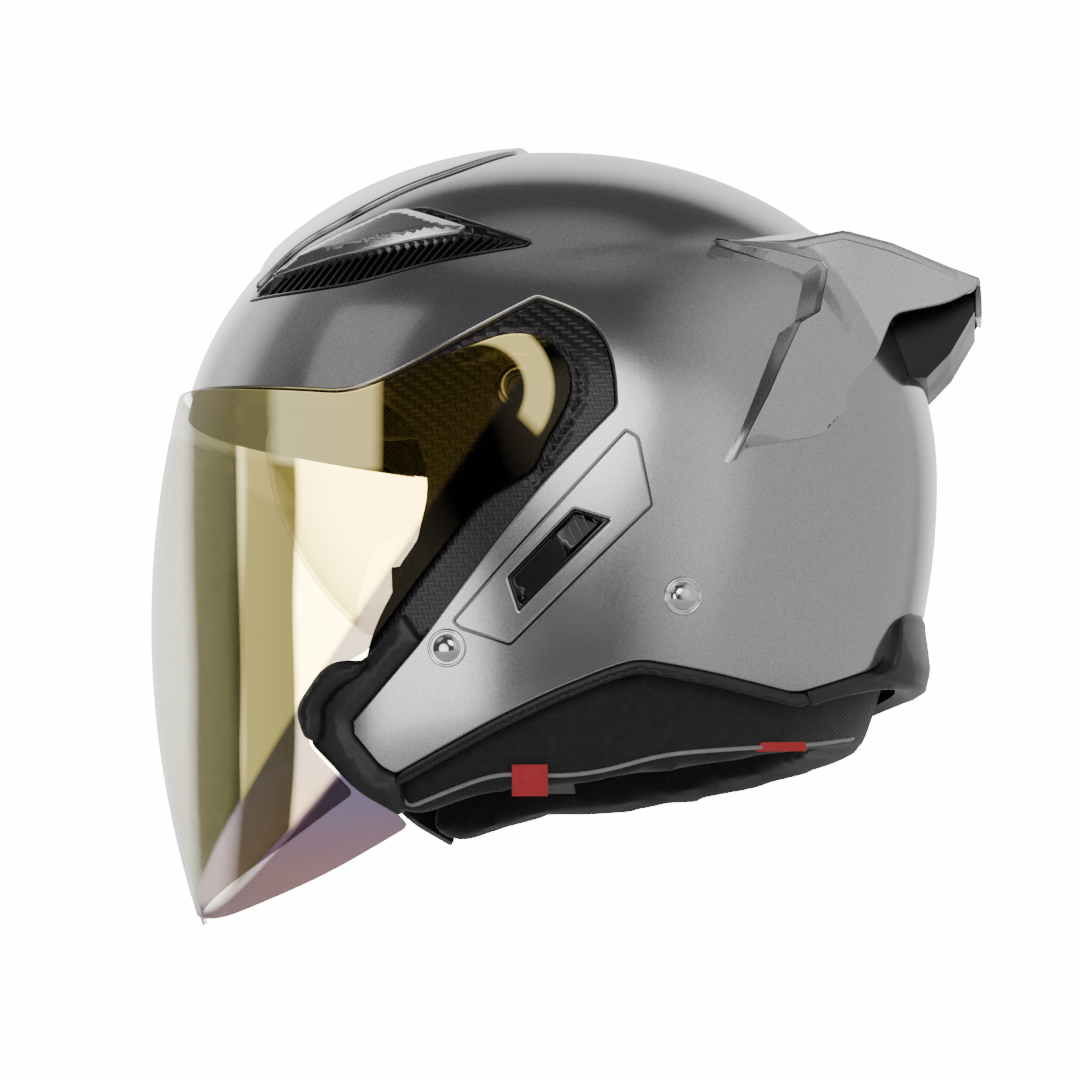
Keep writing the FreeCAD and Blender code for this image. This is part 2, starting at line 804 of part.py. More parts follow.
lens = prism(LENS).common(lens_solid(0.0)).cut(lens_solid(LENS_WALL))
feature("visor_lens", largest(lens))

TAB = [(-71.0, -57.0), (-77.0, -62.5), (-90.0, -78.0), (-92.5, -88.0), (-98.0, -84.0), (-95.0, -70.0),
       (-82.0, -58.0)]
tab = prism(TAB, 5.0, FAR).common(lens_solid(-3.0)).cut(lens_solid(-0.05))
feature("visor_tab", largest(tab))

CUP_FLOOR = size("cup_floor_x")
CUP_RIM = size("cup_rim_x")
CUP_BORE = size("cup_bore")
CUP_WALL = size("cup_wall")
LATCH_Y = -31.0
LATCH_Z = 17.0
LATCH_WAY = Vector(0.0, 0.74, 0.67)


def latch_window():
    across = Vector(0.0, -LATCH_WAY.z, LATCH_WAY.y)
    outline = []
    for along, side in ((-10.5, -1), (6.8, -1), (6.8, 1), (-10.5, 1)):
        outline.append((LATCH_Y + LATCH_WAY.y * along + across.y * side * 3.9,
                        LATCH_Z + LATCH_WAY.z * along + across.z * side * 3.9))
    return prism(outline, 80.0, FAR)


def base_plate_shape():
    """The carbon-look plate in the shell's side: a sunk panel with a round cup for the visor's hub."""
    shape = layer(PLATE_OUTLINE, PLATE_OUT, PLATE_IN).cut(prism(FRONT_TRIM, 5.0, FAR))
    shape = shape.cut(tube_x(CUP_BORE, 80.0, FAR, PIVOT_Y, PIVOT_Z))
    cup = tube_x(CUP_BORE + CUP_WALL, CUP_FLOOR, CUP_RIM, PIVOT_Y, PIVOT_Z)
    cup = cup.cut(tube_x(CUP_BORE, CUP_FLOOR + CUP_WALL, FAR, PIVOT_Y, PIVOT_Z))
    post = tube_x(size("post_radius"), CUP_FLOOR, CUP_RIM + 1.0, PIVOT_Y, PIVOT_Z)
    shape = shape.fuse(cup).fuse(post).cut(latch_window())
    for along, level in SCREW_PLACES:
        normal = surface_normal(along, level)
        top = Vector(surface_x(along, level), along, level) - normal * PLATE_OUT
        shape = shape.cut(Part.makeCylinder(size("screw_head_radius") + 0.1, 4.0, top - normal * 1.8, normal))
        shape = shape.cut(Part.makeCylinder(size("screw_shank_radius"), 12.0, top - normal * 9.0, normal))
    return largest(shape)


pair("base_plate", base_plate_shape())

HUB_X = 113.4
SPRING_ANGLE = 70.0


def visor_hub(side_name, side_sign):
    """The round end of the visor's arm, which turns on the base plate's post."""
    way = Vector(side_sign, 0.0, 0.0)
    seat = facing(Vector(side_sign * HUB_X, PIVOT_Y, PIVOT_Z), way)
    disc = placed_cylinder(f"hub_disc_{side_name}", "Sizes.hub_radius", "Sizes.hub_length", seat)
    neck = placed_cylinder(f"hub_neck_{side_name}", "Sizes.hub_neck_radius", "Sizes.hub_neck_length", seat)
    bore = placed_cylinder(f"hub_bore_{side_name}", "Sizes.post_radius + Sizes.hub_clearance",
                           "Sizes.hub_bore_depth", facing(seat.Base, way, -0.4))
    name = f"visor_hub_{side_name}"
    node(cut_away(name, fused(f"hub_blank_{side_name}", [disc, neck]), bore), name)


def detent_spring(side_name, side_sign):
    """A bowed leaf beside the hub that holds the visor where it is put."""
    turn = Rotation(Vector(0.0, 0.0, 1.0), Vector(1.0, 0.0, 0.0))
    low_x = side_sign * 115.6 - size("spring_width") / 2.0
    ring = placed_cylinder(f"spring_outer_{side_name}", "Sizes.hub_radius + 0.6 + Sizes.spring_thickness",
                           "Sizes.spring_width", Placement(Vector(low_x, PIVOT_Y, PIVOT_Z), turn))
    ring.Angle = SPRING_ANGLE
    hollow = placed_cylinder(f"spring_inner_{side_name}", "Sizes.hub_radius + 0.6", "Sizes.spring_width + 2",
                             Placement(Vector(low_x - 1.0, PIVOT_Y, PIVOT_Z), turn))
    name = f"detent_spring_{side_name}"
    node(cut_away(name, ring, hollow), name)


def release_latch(side_name, side_sign):
    """The button in the base plate's window that frees the visor's arm."""
    latch = new_body(f"release_latch_{side_name}")
    latch_sketch = flat_sketch(latch)
    draw_rectangle(latch_sketch, "latch_length", "latch_width")
    latch.Tip = pad(latch, latch_sketch, "latch_height")
    latch_x = side_sign * (surface_x(LATCH_Y, LATCH_Z) - 7.0)
    up = Vector(side_sign, 0.0, 0.0)
    turn = Rotation(LATCH_WAY, up.cross(LATCH_WAY), up, "ZXY")
    latch.Placement = Placement(Vector(latch_x, LATCH_Y, LATCH_Z), turn)


for side_name, side_sign in (("left", 1.0), ("right", -1.0)):
    visor_hub(side_name, side_sign)
    detent_spring(side_name, side_sign)
    release_latch(side_name, side_sign)

screws = []
for side_sign in (1.0, -1.0):
    for index, (along, level) in enumerate(SCREW_PLACES):
        normal = surface_normal(along, level)
        seat = Vector(surface_x(along, level), along, level) - normal * (PLATE_OUT + 1.8)
        seat.x = seat.x * side_sign
        normal.x = normal.x * side_sign
        tag = f"{'left' if side_sign > 0 else 'right'}_{index}"
        head = placed_cylinder(f"screw_head_{tag}", "Sizes.screw_head_radius", "Sizes.screw_head_height",
                               facing(seat, normal))
        shank = placed_cylinder(f"screw_shank_{tag}", "Sizes.screw_shank_radius",
                                "Sizes.screw_shank_length", facing(seat, normal * -1.0))
        screw = doc.addObject("Part::Fuse", f"screw_{tag}")
        screw.Base = head
        screw.Tool = shank
        screws.append(screw)
group("base_plate_screws", screws)

# ---------------------------------------------------------------- sun visor, its pins and its drive

feature("sun_visor", sun_visor_shape())

pins = []
for tag, side_sign in (("left", 1.0), ("right", -1.0)):
    pin = doc.addObject("Part::Cylinder", f"sun_pin_{tag}")
    pin.setExpression("Radius", "Sizes.sun_pin_radius")
    pin.setExpression("Height", "Sizes.cup_floor_x - Sizes.sun_ear_x + 0.8")
    pin_base = Vector(side_sign * (EAR_X - 0.8), SUN_PIVOT.y, SUN_PIVOT.z)
    pin.Placement = facing(pin_base, Vector(side_sign, 0.0, 0.0))
    pins.append(pin)
group("sun_visor_pins", pins)

feature("sun_visor_cable", tube_along(CABLE_POINTS, size("cable_radius")))

# ---------------------------------------------------------------- side plates, trays and sliders

pair("side_plate", layer(SIDE_PLATE, -1.2, 0.0).cut(prism(WINDOW, 5.0, FAR)))


def shrunk(outline, factor):
    """An outline drawn smaller about the mean of its corners."""
    mean_y = sum(y for y, _ in outline) / len(outline)
    mean_z = sum(z for _, z in outline) / len(outline)
    return [(mean_y + (y - mean_y) * factor, mean_z + (z - mean_z) * factor) for y, z in outline]


tray = layer(shrunk(WINDOW, 0.985), 2.8, SHELL_WALL)
pair("slider_tray", tray.cut(slide_slot(SLOT_ENDS, SLOT_HALF, 80.0, FAR)))


def slider(label, side_sign):
    """A ridged thumb slider with a stem that reaches through its tray."""
    knob = new_body(label)
    face = flat_sketch(knob)
    draw_rectangle(face, "knob_length", "knob_width")
    pad(knob, face, "knob_height", "grip")
    stem = flat_sketch(knob)
    draw_circle(stem, "knob_stem_radius")
    knob.Tip = pad(knob, stem, "knob_stem_length", "stem", True)
    out_way = Vector(side_sign, 0.0, 0.0)
    run = Vector(0.0, SLIDE_WAY.y, SLIDE_WAY.z)
    turn = Rotation(run, out_way.cross(run), out_way, "ZXY")
    seat_x = surface_x(SLIDE_REST.y, SLIDE_REST.z) - 1.6
    knob.Placement = Placement(Vector(side_sign * seat_x, SLIDE_REST.y, SLIDE_REST.z), turn)


slider("sun_visor_slider", 1.0)
slider("ear_vent_slider", -1.0)

# ---------------------------------------------------------------- vents

pair("brow_scoop", layer(SCOOP, 2.4, 5.0, 20.0))
pair("brow_blade", layer(BLADE, -1.2, 2.4, 20.0))

RIDGE = [(0.0, -112.0), (20.0, -110.0), (34.0, -92.0), (26.0, -50.0), (12.0, -18.0), (0.0, -14.0)]
ridge_plan = RIDGE + [(-x, y) for x, y in reversed(RIDGE[1:-1])]
KNOB_RUN = Vector(0.0, -0.944, -0.33)
TOP_KNOB = Vector(0.0, -62.0, 133.6)


def top_vent_shape():
    """A raised air duct on the crown, hollow from its mouth to the holes under the slider."""
    shape = plan_prism(ridge_plan, 60.0, FAR).common(skin(-3.6)).cut(skin(0.0))
    duct = plan_prism([(-24.0, -130.0), (24.0, -130.0), (20.0, -74.0), (-20.0, -74.0)], 60.0, FAR)
    shape = shape.cut(duct.common(skin(-2.2)))
    pocket = Part.makeBox(26.0, 27.0, 40.0, Vector(-13.0, -77.0, 110.0))
    return shape.cut(pocket.cut(skin(-1.4)))


feature("top_vent_cover", largest(top_vent_shape()))

top_knob = new_body("top_vent_slider")
top_face = flat_sketch(top_knob)
draw_rectangle(top_face, "top_knob_length", "top_knob_width")
top_knob.Tip = pad(top_knob, top_face, "top_knob_height")
up_way = Vector(0.0, -0.33, 0.944)
knob_turn = Rotation(KNOB_RUN, up_way.cross(KNOB_RUN), up_way, "ZXY")
top_knob.Placement = Placement(TOP_KNOB + up_way * 2.1, knob_turn)

# ---------------------------------------------------------------- rear spoiler

# Half spans, side levels and top levels of the wing's cross sections, from front to back.
WING_STATIONS = [
    (58.0, 92.0, 92.0, 132.4),
    (90.0, 72.0, 94.0, 118.4),
    (120.0, 60.0, 90.0, 103.6),
    (150.0, 50.0, 84.0, 89.6),
    (161.0, 44.0, 81.4, 84.2),
]
WING_WALL = 4.0


def wing_section(along, span, side_level, top_level):
    middle = Vector(0.0, along, top_level)
    top = Part.Arc(Vector(-span, along, side_level), middle, Vector(span, along, side_level))
    low = Part.Arc(Vector(span, along, side_level - WING_WALL), Vector(0.0, along, top_level - WING_WALL),
                   Vector(-span, along, side_level - WING_WALL))
    ends = [
        Part.LineSegment(Vector(span, along, side_level), Vector(span, along, side_level - WING_WALL)),
        Part.LineSegment(Vector(-span, along, side_level - WING_WALL), Vector(-span, along, side_level)),
    ]
    return Part.Wire([top.toShape(), ends[0].toShape(), low.toShape(), ends[1].toShape()])


WING_FRONT = [(0.0, 98.0), (44.0, 88.0), (77.0, 68.0), (90.0, 61.0), (92.0, 62.0), (74.0, 96.0),
              (62.0, 140.0), (44.0, 170.0)]
wing_plan = WING_FRONT + [(-x, y) for x, y in reversed(WING_FRONT[1:])]
wing = Part.makeLoft([wing_section(*station) for station in WING_STATIONS], True, False, False)
wing = largest(wing.common(plan_prism(wing_plan, 40.0, FAR)).cut(skin(-0.1)))
feature("rear_spoiler", wing)
leg = layer(SPOILER_LEG, -6.0, -0.1, 30.0).cut(wing)
pair("spoiler_leg", largest(leg))
diffuser = prism(DIFFUSER, -40.0, 40.0).cut(skin(-0.1)).cut(wing)
leg_room = layer(SPOILER_LEG, -6.5, -0.05, 30.0)
diffuser = diffuser.cut(leg_room).cut(mirrored(leg_room))
feature("rear_diffuser", largest(diffuser))

# ---------------------------------------------------------------- rivets, straps and buckle

rivets = []
for side_sign in (1.0, -1.0):
    for place_name, (along, level) in RIVET_PLACES.items():
        normal = surface_normal(along, level)
        seat = Vector(side_sign * surface_x(along, level), along, level)
        normal.x = normal.x * side_sign
        tag = f"{place_name}_{'left' if side_sign > 0 else 'right'}"
        washer = placed_cylinder(f"rivet_washer_{tag}", "Sizes.rivet_washer_radius",
                                 "Sizes.rivet_washer_height", facing(seat, normal, 0.1))
        head = placed_cylinder(f"rivet_head_{tag}", "Sizes.rivet_head_radius",
                               "Sizes.rivet_head_height", facing(seat, normal, 0.5))
        shank = placed_cylinder(f"rivet_shank_{tag}", "Sizes.rivet_shank_radius",
                                "Sizes.rivet_shank_length", facing(seat, normal, -6.0))
        rivet = doc.addObject("Part::MultiFuse", f"rivet_{tag}")
        rivet.Shapes = [washer, head, shank]
        rivets.append(rivet)
group("strap_rivets", rivets)

BUCKLE_ANGLE = math.radians(14.0)
BUCKLE_RUN = Vector(-math.cos(BUCKLE_ANGLE), 0.0, -math.sin(BUCKLE_ANGLE))
BUCKLE_OUT = Vector(math.sin(BUCKLE_ANGLE), 0.0, -math.cos(BUCKLE_ANGLE))
BUCKLE_AT = STRAP_CHIN + BUCKLE_RUN * (size("buckle_length") / 2.0 + 0.6)
buckle_turn = Rotation(BUCKLE_RUN, BUCKLE_OUT.cross(BUCKLE_RUN), BUCKLE_OUT, "ZXY")

feature("strap_left", STRAP)
right_run = strap_run(STRAP_JOIN, STRAP_RIGHT_END, Vector(0.0, 1.0, 0.0), size("strap_width"),
                      size("strap_thickness"))
right_strap = mirrored(STRAP).fuse(mirrored(right_run))
feature("strap_right", right_strap)


def box(name, long, wide, tall, corner):
    """A box whose three sizes are expressions of the sheet's cells."""
    item = doc.addObject("Part::Box", name)
    item.setExpression("Length", long)
    item.setExpression("Width", wide)
    item.setExpression("Height", tall)
    item.Placement = Placement(corner, Rotation())
    return item


def cross_cylinder(name, radius, long, corner):
    """A cylinder along the buckle's width, its sizes expressions of the sheet's cells."""
    turn = Rotation(Vector(0.0, 0.0, 1.0), Vector(0.0, 1.0, 0.0))
    return placed_cylinder(name, radius, long, Placement(corner, turn))


# The buckle's own frame: x along the strap from the left strap's end, y across it, z away from the chin.
BUCKLE_LONG = size("buckle_length")
BUCKLE_WIDE = size("buckle_width")
BUCKLE_TALL = size("buckle_height")
LEVER_WIDE = size("lever_width")
PIN_X = -12.5
PIN_Z = BUCKLE_TALL + 3.1
EAR_GAP = 0.3
housing_block = box("housing_block", "Sizes.buckle_length", "Sizes.buckle_width", "Sizes.buckle_height",
                    Vector(-BUCKLE_LONG / 2.0, -BUCKLE_WIDE / 2.0, 0.0))
ears = []
for ear_name, ear_y in (("front", -BUCKLE_WIDE / 2.0), ("rear", LEVER_WIDE / 2.0 + EAR_GAP)):
    ears.append(box(f"housing_ear_{ear_name}", "6", f"(Sizes.buckle_width - Sizes.lever_width) / 2 - {EAR_GAP}",
                    "6", Vector(PIN_X - 3.0, ear_y, BUCKLE_TALL - 0.2)))
passage = box("housing_passage", "Sizes.buckle_length + 2", "Sizes.buckle_slot_width", "Sizes.buckle_slot_height",
              Vector(-BUCKLE_LONG / 2.0 - 1.0, -size("buckle_slot_width") / 2.0, 2.8))
pin_bore = cross_cylinder("housing_pin_bore", "Sizes.lever_pin_radius", "Sizes.buckle_width + 2",
                          Vector(PIN_X, -BUCKLE_WIDE / 2.0 - 1.0, PIN_Z))
housing = cut_away("buckle_housing", fused("housing_solid", [housing_block] + ears),
                   fused("housing_voids", [passage, pin_bore]))
housing.Placement = Placement(BUCKLE_AT, buckle_turn)
node(housing, "buckle_housing")

pin = cross_cylinder("lever_pin_rod", "Sizes.lever_pin_radius", "Sizes.buckle_width",
                     Vector(PIN_X, -BUCKLE_WIDE / 2.0, PIN_Z))
lever_pin = group("lever_pin", [pin])
lever_pin.Placement = Placement(BUCKLE_AT, buckle_turn)

ladder = new_body("ladder_strap")
ladder_sketch = flat_sketch(ladder)
draw_rectangle(ladder_sketch, "ladder_length", "ladder_width")
ladder.Tip = pad(ladder, ladder_sketch, "ladder_height")
ladder.Placement = Placement(BUCKLE_AT + BUCKLE_OUT * 3.3 + BUCKLE_RUN * 16.0, buckle_turn)

lever_blade = box("lever_blade", "Sizes.lever_length", "Sizes.lever_width", "Sizes.lever_height",
                  Vector(PIN_X, -LEVER_WIDE / 2.0, BUCKLE_TALL + 0.6))
lever_barrel = cross_cylinder("lever_barrel", "Sizes.lever_pin_radius + 1.2", "Sizes.lever_width",
                              Vector(PIN_X, -LEVER_WIDE / 2.0, PIN_Z))
lever_bore = cross_cylinder("lever_bore", "Sizes.lever_pin_radius + Sizes.hub_clearance", "Sizes.lever_width + 2",
                            Vector(PIN_X, -LEVER_WIDE / 2.0 - 1.0, PIN_Z))
lever = cut_away("release_lever", fused("lever_solid", [lever_blade, lever_barrel]), lever_bore)
lever.Placement = Placement(BUCKLE_AT, buckle_turn)
node(lever, "release_lever")
hinge_at = BUCKLE_AT + BUCKLE_RUN * PIN_X + BUCKLE_OUT * PIN_Z
print(f"lever hinge at {hinge_at.x:.2f} {hinge_at.y:.2f} {hinge_at.z:.2f}")

# ---------------------------------------------------------------- pull tabs

TABS = [
    [(-14.2, -114.9), (-14.0, -106.0), (-0.3, -103.0), (-0.3, -114.0)],
    [(64.0, -97.6), (70.0, -94.6), (93.5, -92.6), (94.0, -95.4)],
]
tabs = []
for outline in TABS:
    red = layer(outline, 6.9, 7.9)
    tabs += [red, mirrored(red)]
feature("pull_tabs", Part.makeCompound(tabs))

# ---------------------------------------------------------------- checks and export

doc.recompute()
for item in doc.Objects:
    if "Invalid" in item.State or "Error" in item.State:
        raise RuntimeError(f"{item.Label} did not rebuild: {item.State}")
for item in NODES:
    if item.Shape.isNull() or not item.Shape.isValid() or not item.Shape.Solids:
        raise RuntimeError(f"{item.Label} has no valid solid")

os.makedirs("parts", exist_ok=True)
for item in NODES:
    item.Shape.exportStep(f"parts/{item.Label}.step")
    box = item.Shape.BoundBox
    print(f"{item.Label}: {len(item.Shape.Solids)} solid(s), {item.Shape.Volume / 1000.0:.1f} cm3, "
          f"x {box.XMin:.0f}..{box.XMax:.0f} y {box.YMin:.0f}..{box.YMax:.0f} z {box.ZMin:.0f}..{box.ZMax:.0f}")
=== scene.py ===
import math

import bpy
import numpy as np
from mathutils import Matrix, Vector
from mathutils.bvhtree import BVHTree
from mathutils.geometry import delaunay_2d_cdt


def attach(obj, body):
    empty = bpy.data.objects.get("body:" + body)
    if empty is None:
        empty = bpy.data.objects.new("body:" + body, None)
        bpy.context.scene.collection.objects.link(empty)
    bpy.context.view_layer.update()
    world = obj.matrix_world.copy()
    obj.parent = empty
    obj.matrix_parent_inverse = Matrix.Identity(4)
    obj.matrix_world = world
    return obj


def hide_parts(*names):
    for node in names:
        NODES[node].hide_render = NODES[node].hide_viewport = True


# The looks of an open face motorcycle helmet. Lengths are millimetres until a mesh is made.
# +Z is up, the wearer looks along -Y and the wearer's left is +X.

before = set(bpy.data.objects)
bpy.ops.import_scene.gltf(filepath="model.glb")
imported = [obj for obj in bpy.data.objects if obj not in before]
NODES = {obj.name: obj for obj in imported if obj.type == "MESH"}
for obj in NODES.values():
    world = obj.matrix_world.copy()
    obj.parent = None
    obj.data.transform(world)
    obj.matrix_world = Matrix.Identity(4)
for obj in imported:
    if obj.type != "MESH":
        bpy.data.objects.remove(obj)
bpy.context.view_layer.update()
MM = 0.001

# ---------------------------------------------------------------- the helmet's outer surface

WIDTH, FRONT, REAR = 125.0, 144.0, 151.0
MID_Y, WIDEST, RISE, SKIRT, POWER = -8.0, 15.0, 127.0, 115.0, 2.25
ARC = 150.0


def falling(level, full, power, drop):
    """A reach that shrinks towards the crown above the widest level and a little below it."""
    up = np.clip((level - WIDEST) / RISE, 0.0, 0.99995)
    down = np.clip((WIDEST - level) / SKIRT, 0.0, None)
    return full * (1.0 - up ** power) ** (1.0 / power) - drop * down ** 2


def half_width(level):
    return falling(level, WIDTH, 2.3, 12.0)


def front_reach(level):
    return falling(level, FRONT, 2.05, 6.0)


def rear_reach(level):
    return falling(level, REAR, 2.1, 25.0)


def lens_reach(level):
    return 154.6 - 0.0014 * (level + 40.0) ** 2


class Surface:
    """A closed superellipse at every level, with its own half width, front reach and rear reach."""

    def __init__(self, across, ahead, behind):
        self.across, self.ahead, self.behind = across, ahead, behind

    def side(self, uv):
        """Places seen from the wearer's left, as (y, z)."""
        y, z = uv[:, 0], uv[:, 1]
        reach = np.where(y > MID_Y, self.behind(z), self.ahead(z))
        inside = np.clip(1.0 - (np.abs(y - MID_Y) / reach) ** POWER, 1e-9, None)
        return np.stack([self.across(z) * inside ** (1.0 / POWER), y, z], -1)

    def turned(self, angle, z):
        """Places at an angle round the helmet: 0 at the wearer's left, a right angle behind."""
        c, s = np.cos(angle), np.sin(angle)
        reach = np.where(s > 0.0, self.behind(z), self.ahead(z))
        x = self.across(z) * np.sign(c) * np.abs(c) ** (2.0 / POWER)
        y = MID_Y + reach * np.sign(s) * np.abs(s) ** (2.0 / POWER)
        return np.stack([x, y, z], -1)

    def angle(self, points):
        """The angle round the helmet of points (y, z) on the wearer's left."""
        y, z = points[:, 0], points[:, 1]
        reach = np.where(y > MID_Y, self.behind(z), self.ahead(z))
        s = np.clip(np.abs(y - MID_Y) / reach, 0.0, 1.0) ** (POWER / 2.0)
        return np.arctan2(np.sign(y - MID_Y) * s, np.sqrt(np.clip(1.0 - s ** 2, 0.0, 1.0)))

    def wrap(self, uv):
        """Places as (arc round the helmet, z), the arc counted from the wearer's left."""
        return self.turned(uv[:, 0] / ARC, uv[:, 1])

    def to_wrap(self, points):
        return np.stack([self.angle(points) * ARC, points[:, 1]], -1)

    def dome(self, uv):
        """Places seen from above as a flattened map, the crown in its middle."""
        radius = np.hypot(uv[:, 0], uv[:, 1])
        quarter = ARC * math.pi / 2.0
        z = np.where(radius < quarter, WIDEST + RISE * np.cos(np.minimum(radius, quarter) / ARC),
                     WIDEST + quarter - radius)
        return self.turned(np.arctan2(uv[:, 1], uv[:, 0]), z)

    def to_dome(self, points):
        angle, z = self.angle(points), points[:, 1]
        up = np.clip((z - WIDEST) / RISE, 0.0, 1.0)
        radius = np.where(z > WIDEST, ARC * np.arccos(up), ARC * math.pi / 2.0 + WIDEST - z)
        return np.stack([radius * np.cos(angle), radius * np.sin(angle)], -1)


SHELL = Surface(half_width, front_reach, rear_reach)
LENS_OUT = Surface(lambda z: half_width(z) + 1.6, lens_reach, lambda z: rear_reach(z) + 1.6)


def slopes(place, uv, step=0.05):
    du, dv = np.array((step, 0.0)), np.array((0.0, step))
    return (place(uv + du) - place(uv - du)) / (2 * step), (place(uv + dv) - place(uv - dv)) / (2 * step)


def unit(vectors):
    return vectors / np.maximum(np.linalg.norm(vectors, axis=-1, keepdims=True), 1e-12)


def normals(place, uv):
    by_u, by_v = slopes(place, uv)
    return unit(np.cross(by_u, by_v))


def lifted(place, lift):
    """A surface moved out along its normals by a distance that may depend on the place."""
    def moved(uv):
        points = place(uv)
        height = lift(points) if callable(lift) else lift
        return points + normals(place, uv) * np.reshape(height, (-1, 1))
    return moved


# ---------------------------------------------------------------- outlines

def rounded(corners, soft=2.0, step=2.0, closed=True):
    """An outline or a line through corners, each rounded by soft or by its own third number."""
    points = np.array([corner[:2] for corner in corners], float)
    soften = [corner[2] if len(corner) > 2 else soft for corner in corners]
    out, count = [], len(points)
    for i, here in enumerate(points):
        if not closed and i in (0, count - 1):
            out.append(here)
            continue
        back, on = points[i - 1] - here, points[(i + 1) % count] - here
        reach = [min(soften[i], 0.5 * np.linalg.norm(way)) for way in (back, on)]
        a, b = here + unit(back) * reach[0], here + unit(on) * reach[1]
        steps = max(2, int(np.ceil(np.linalg.norm(b - a) / step * 1.5)), 5 if min(reach) > 0.3 else 2)
        for t in np.linspace(0.0, 1.0, steps):
            out.append((1 - t) ** 2 * a + 2 * t * (1 - t) * here + t ** 2 * b)
    dense, count = [], len(out)
    for i in range(count if closed else count - 1):
        gap = out[(i + 1) % count] - out[i]
        length = np.linalg.norm(gap)
        if length < 0.05:
            continue
        pieces = max(1, int(np.ceil(length / step)))
        dense += [out[i] + gap * k / pieces for k in range(pieces)]
    if not closed:
        dense.append(out[-1])
    return np.array(dense)


def within(points, loops):
    """Which points lie inside the first loop and outside the holes, by crossings."""
    count = np.zeros(len(points), int)
    for loop in loops:
        a, b = loop, np.roll(loop, -1, 0)
        for (ay, az), (by, bz) in zip(a, b):
            if az == bz:
                continue
            hit = (points[:, 1] < max(az, bz)) & (points[:, 1] >= min(az, bz))
            count += hit & (points[:, 0] < ay + (points[:, 1] - az) * (by - ay) / (bz - az))
    return count % 2 == 1


def turning(loop):
    following = np.roll(loop, -1, 0)
    return np.sum(loop[:, 0] * following[:, 1] - following[:, 0] * loop[:, 1]) / 2.0


def distance_to(points, line):
    """Each point's distance to an open line of points, all in two dimensions."""
    best = np.full(len(points), 1e9)
    for a, b in zip(line[:-1], line[1:]):
        way = b - a
        t = np.clip(((points - a) @ way) / max(way @ way, 1e-12), 0.0, 1.0)
        best = np.minimum(best, np.linalg.norm(points - a - t[:, None] * way, axis=1))
    return best


# ---------------------------------------------------------------- meshes

class Build:
    """Points, faces and corner normals of one piece, gathered from several parts."""

    def __init__(self):
        self.points, self.faces, self.normals, self.slots = [], [], [], []

    def add(self, points, faces, corner_normals, slot=0):
        first = len(self.points)
        self.points += [tuple(p) for p in points]
        self.faces += [tuple(i + first for i in face) for face in faces]
        self.normals += [tuple(n) for n in corner_normals]
        self.slots += [slot] * len(faces)

    def mirrored(self, both=False):
        other = Build()
        if both:
            other.add(self.points, self.faces, self.normals)
            other.slots = list(self.slots)
        flip = [(-x, y, z) for x, y, z in self.points]
        normals_out, at = [], 0
        for face in self.faces:
            corners = self.normals[at:at + len(face)]
            normals_out += [(-x, y, z) for x, y, z in reversed(corners)]
            at += len(face)
        first = len(other.slots)
        other.add(flip, [tuple(reversed(face)) for face in self.faces], normals_out)
        other.slots[first:] = self.slots
        return other


def triangles(loops, spacing, seeds=None, lines=()):
    """Fills an outline with holes: all chart points, loops first, and triangles of their indices."""
    if seeds is None:
        low, high = loops[0].min(0), loops[0].max(0)
        rows = np.arange(low[1], high[1], spacing * 0.866)
        seeds = [(x, y) for i, y in enumerate(rows)
                 for x in np.arange(low[0] + (i % 2) * spacing / 2, high[0], spacing)]
        seeds = np.array(seeds).reshape(-1, 2)
    edges, fixed = [], []
    for loop in loops:
        first = len(fixed)
        fixed += list(loop)
        edges += [(first + i, first + (i + 1) % len(loop)) for i in range(len(loop))]
    rim = len(fixed)
    for line in lines:
        first = len(fixed)
        fixed += list(line)
        edges += [(first + i, first + i + 1) for i in range(len(line) - 1)]
    fixed = np.array(fixed)
    seeds = seeds[within(seeds, loops)]
    far = np.ones(len(seeds), bool)
    for start in range(0, len(seeds), 2000):
        block = seeds[start:start + 2000]
        gap = np.linalg.norm(block[:, None] - fixed[None], axis=2).min(1)
        far[start:start + 2000] = gap > 0.62 * spacing
    uv = np.concatenate([fixed, seeds[far]])
    result = delaunay_2d_cdt([Vector(p) for p in uv], edges, [], 0, 1e-4)
    origin = [group[0] if group else -1 for group in result[3]]
    made = np.array([(result[0][i].x, result[0][i].y) for i in range(len(result[0]))])
    extra = [i for i, at in enumerate(origin) if at < 0]
    for i in extra:
        origin[i] = len(uv)
        uv = np.concatenate([uv, made[i:i + 1]])
    tris = np.array([[origin[i] for i in face] for face in result[2] if len(face) == 3])
    centre = uv[tris].mean(1)
    tris = tris[within(centre, loops)]
    a, b, c = uv[tris[:, 0]], uv[tris[:, 1]], uv[tris[:, 2]]
    area = (b - a)[:, 0] * (c - a)[:, 1] - (b - a)[:, 1] * (c - a)[:, 0]
    tris[area < 0] = tris[area < 0][:, ::-1]
    return uv, tris[np.abs(area) > 1e-7], rim


ROUND = [(1.0, 1.0), (0.62, 0.925), (0.29, 0.71), (0.075, 0.38), (0.0, 0.0)]


def lip(share):
    """Rim rows as (inset, height) from the top in to the foot: a rounding, then a straight wall."""
    return [(inset, 1.0 - share * (1.0 - height)) for inset, height in ROUND] + [(0.0, 0.0)]


def finer(loop, reach):
    """A closed outline with no stretch longer than a given reach."""
    made = []
    for a, b in zip(loop, np.roll(loop, -1, 0)):
        count = max(1, math.ceil(math.dist(a, b) / reach))
        made += [a + (b - a) * k / count for k in range(count)]
    return np.array(made)


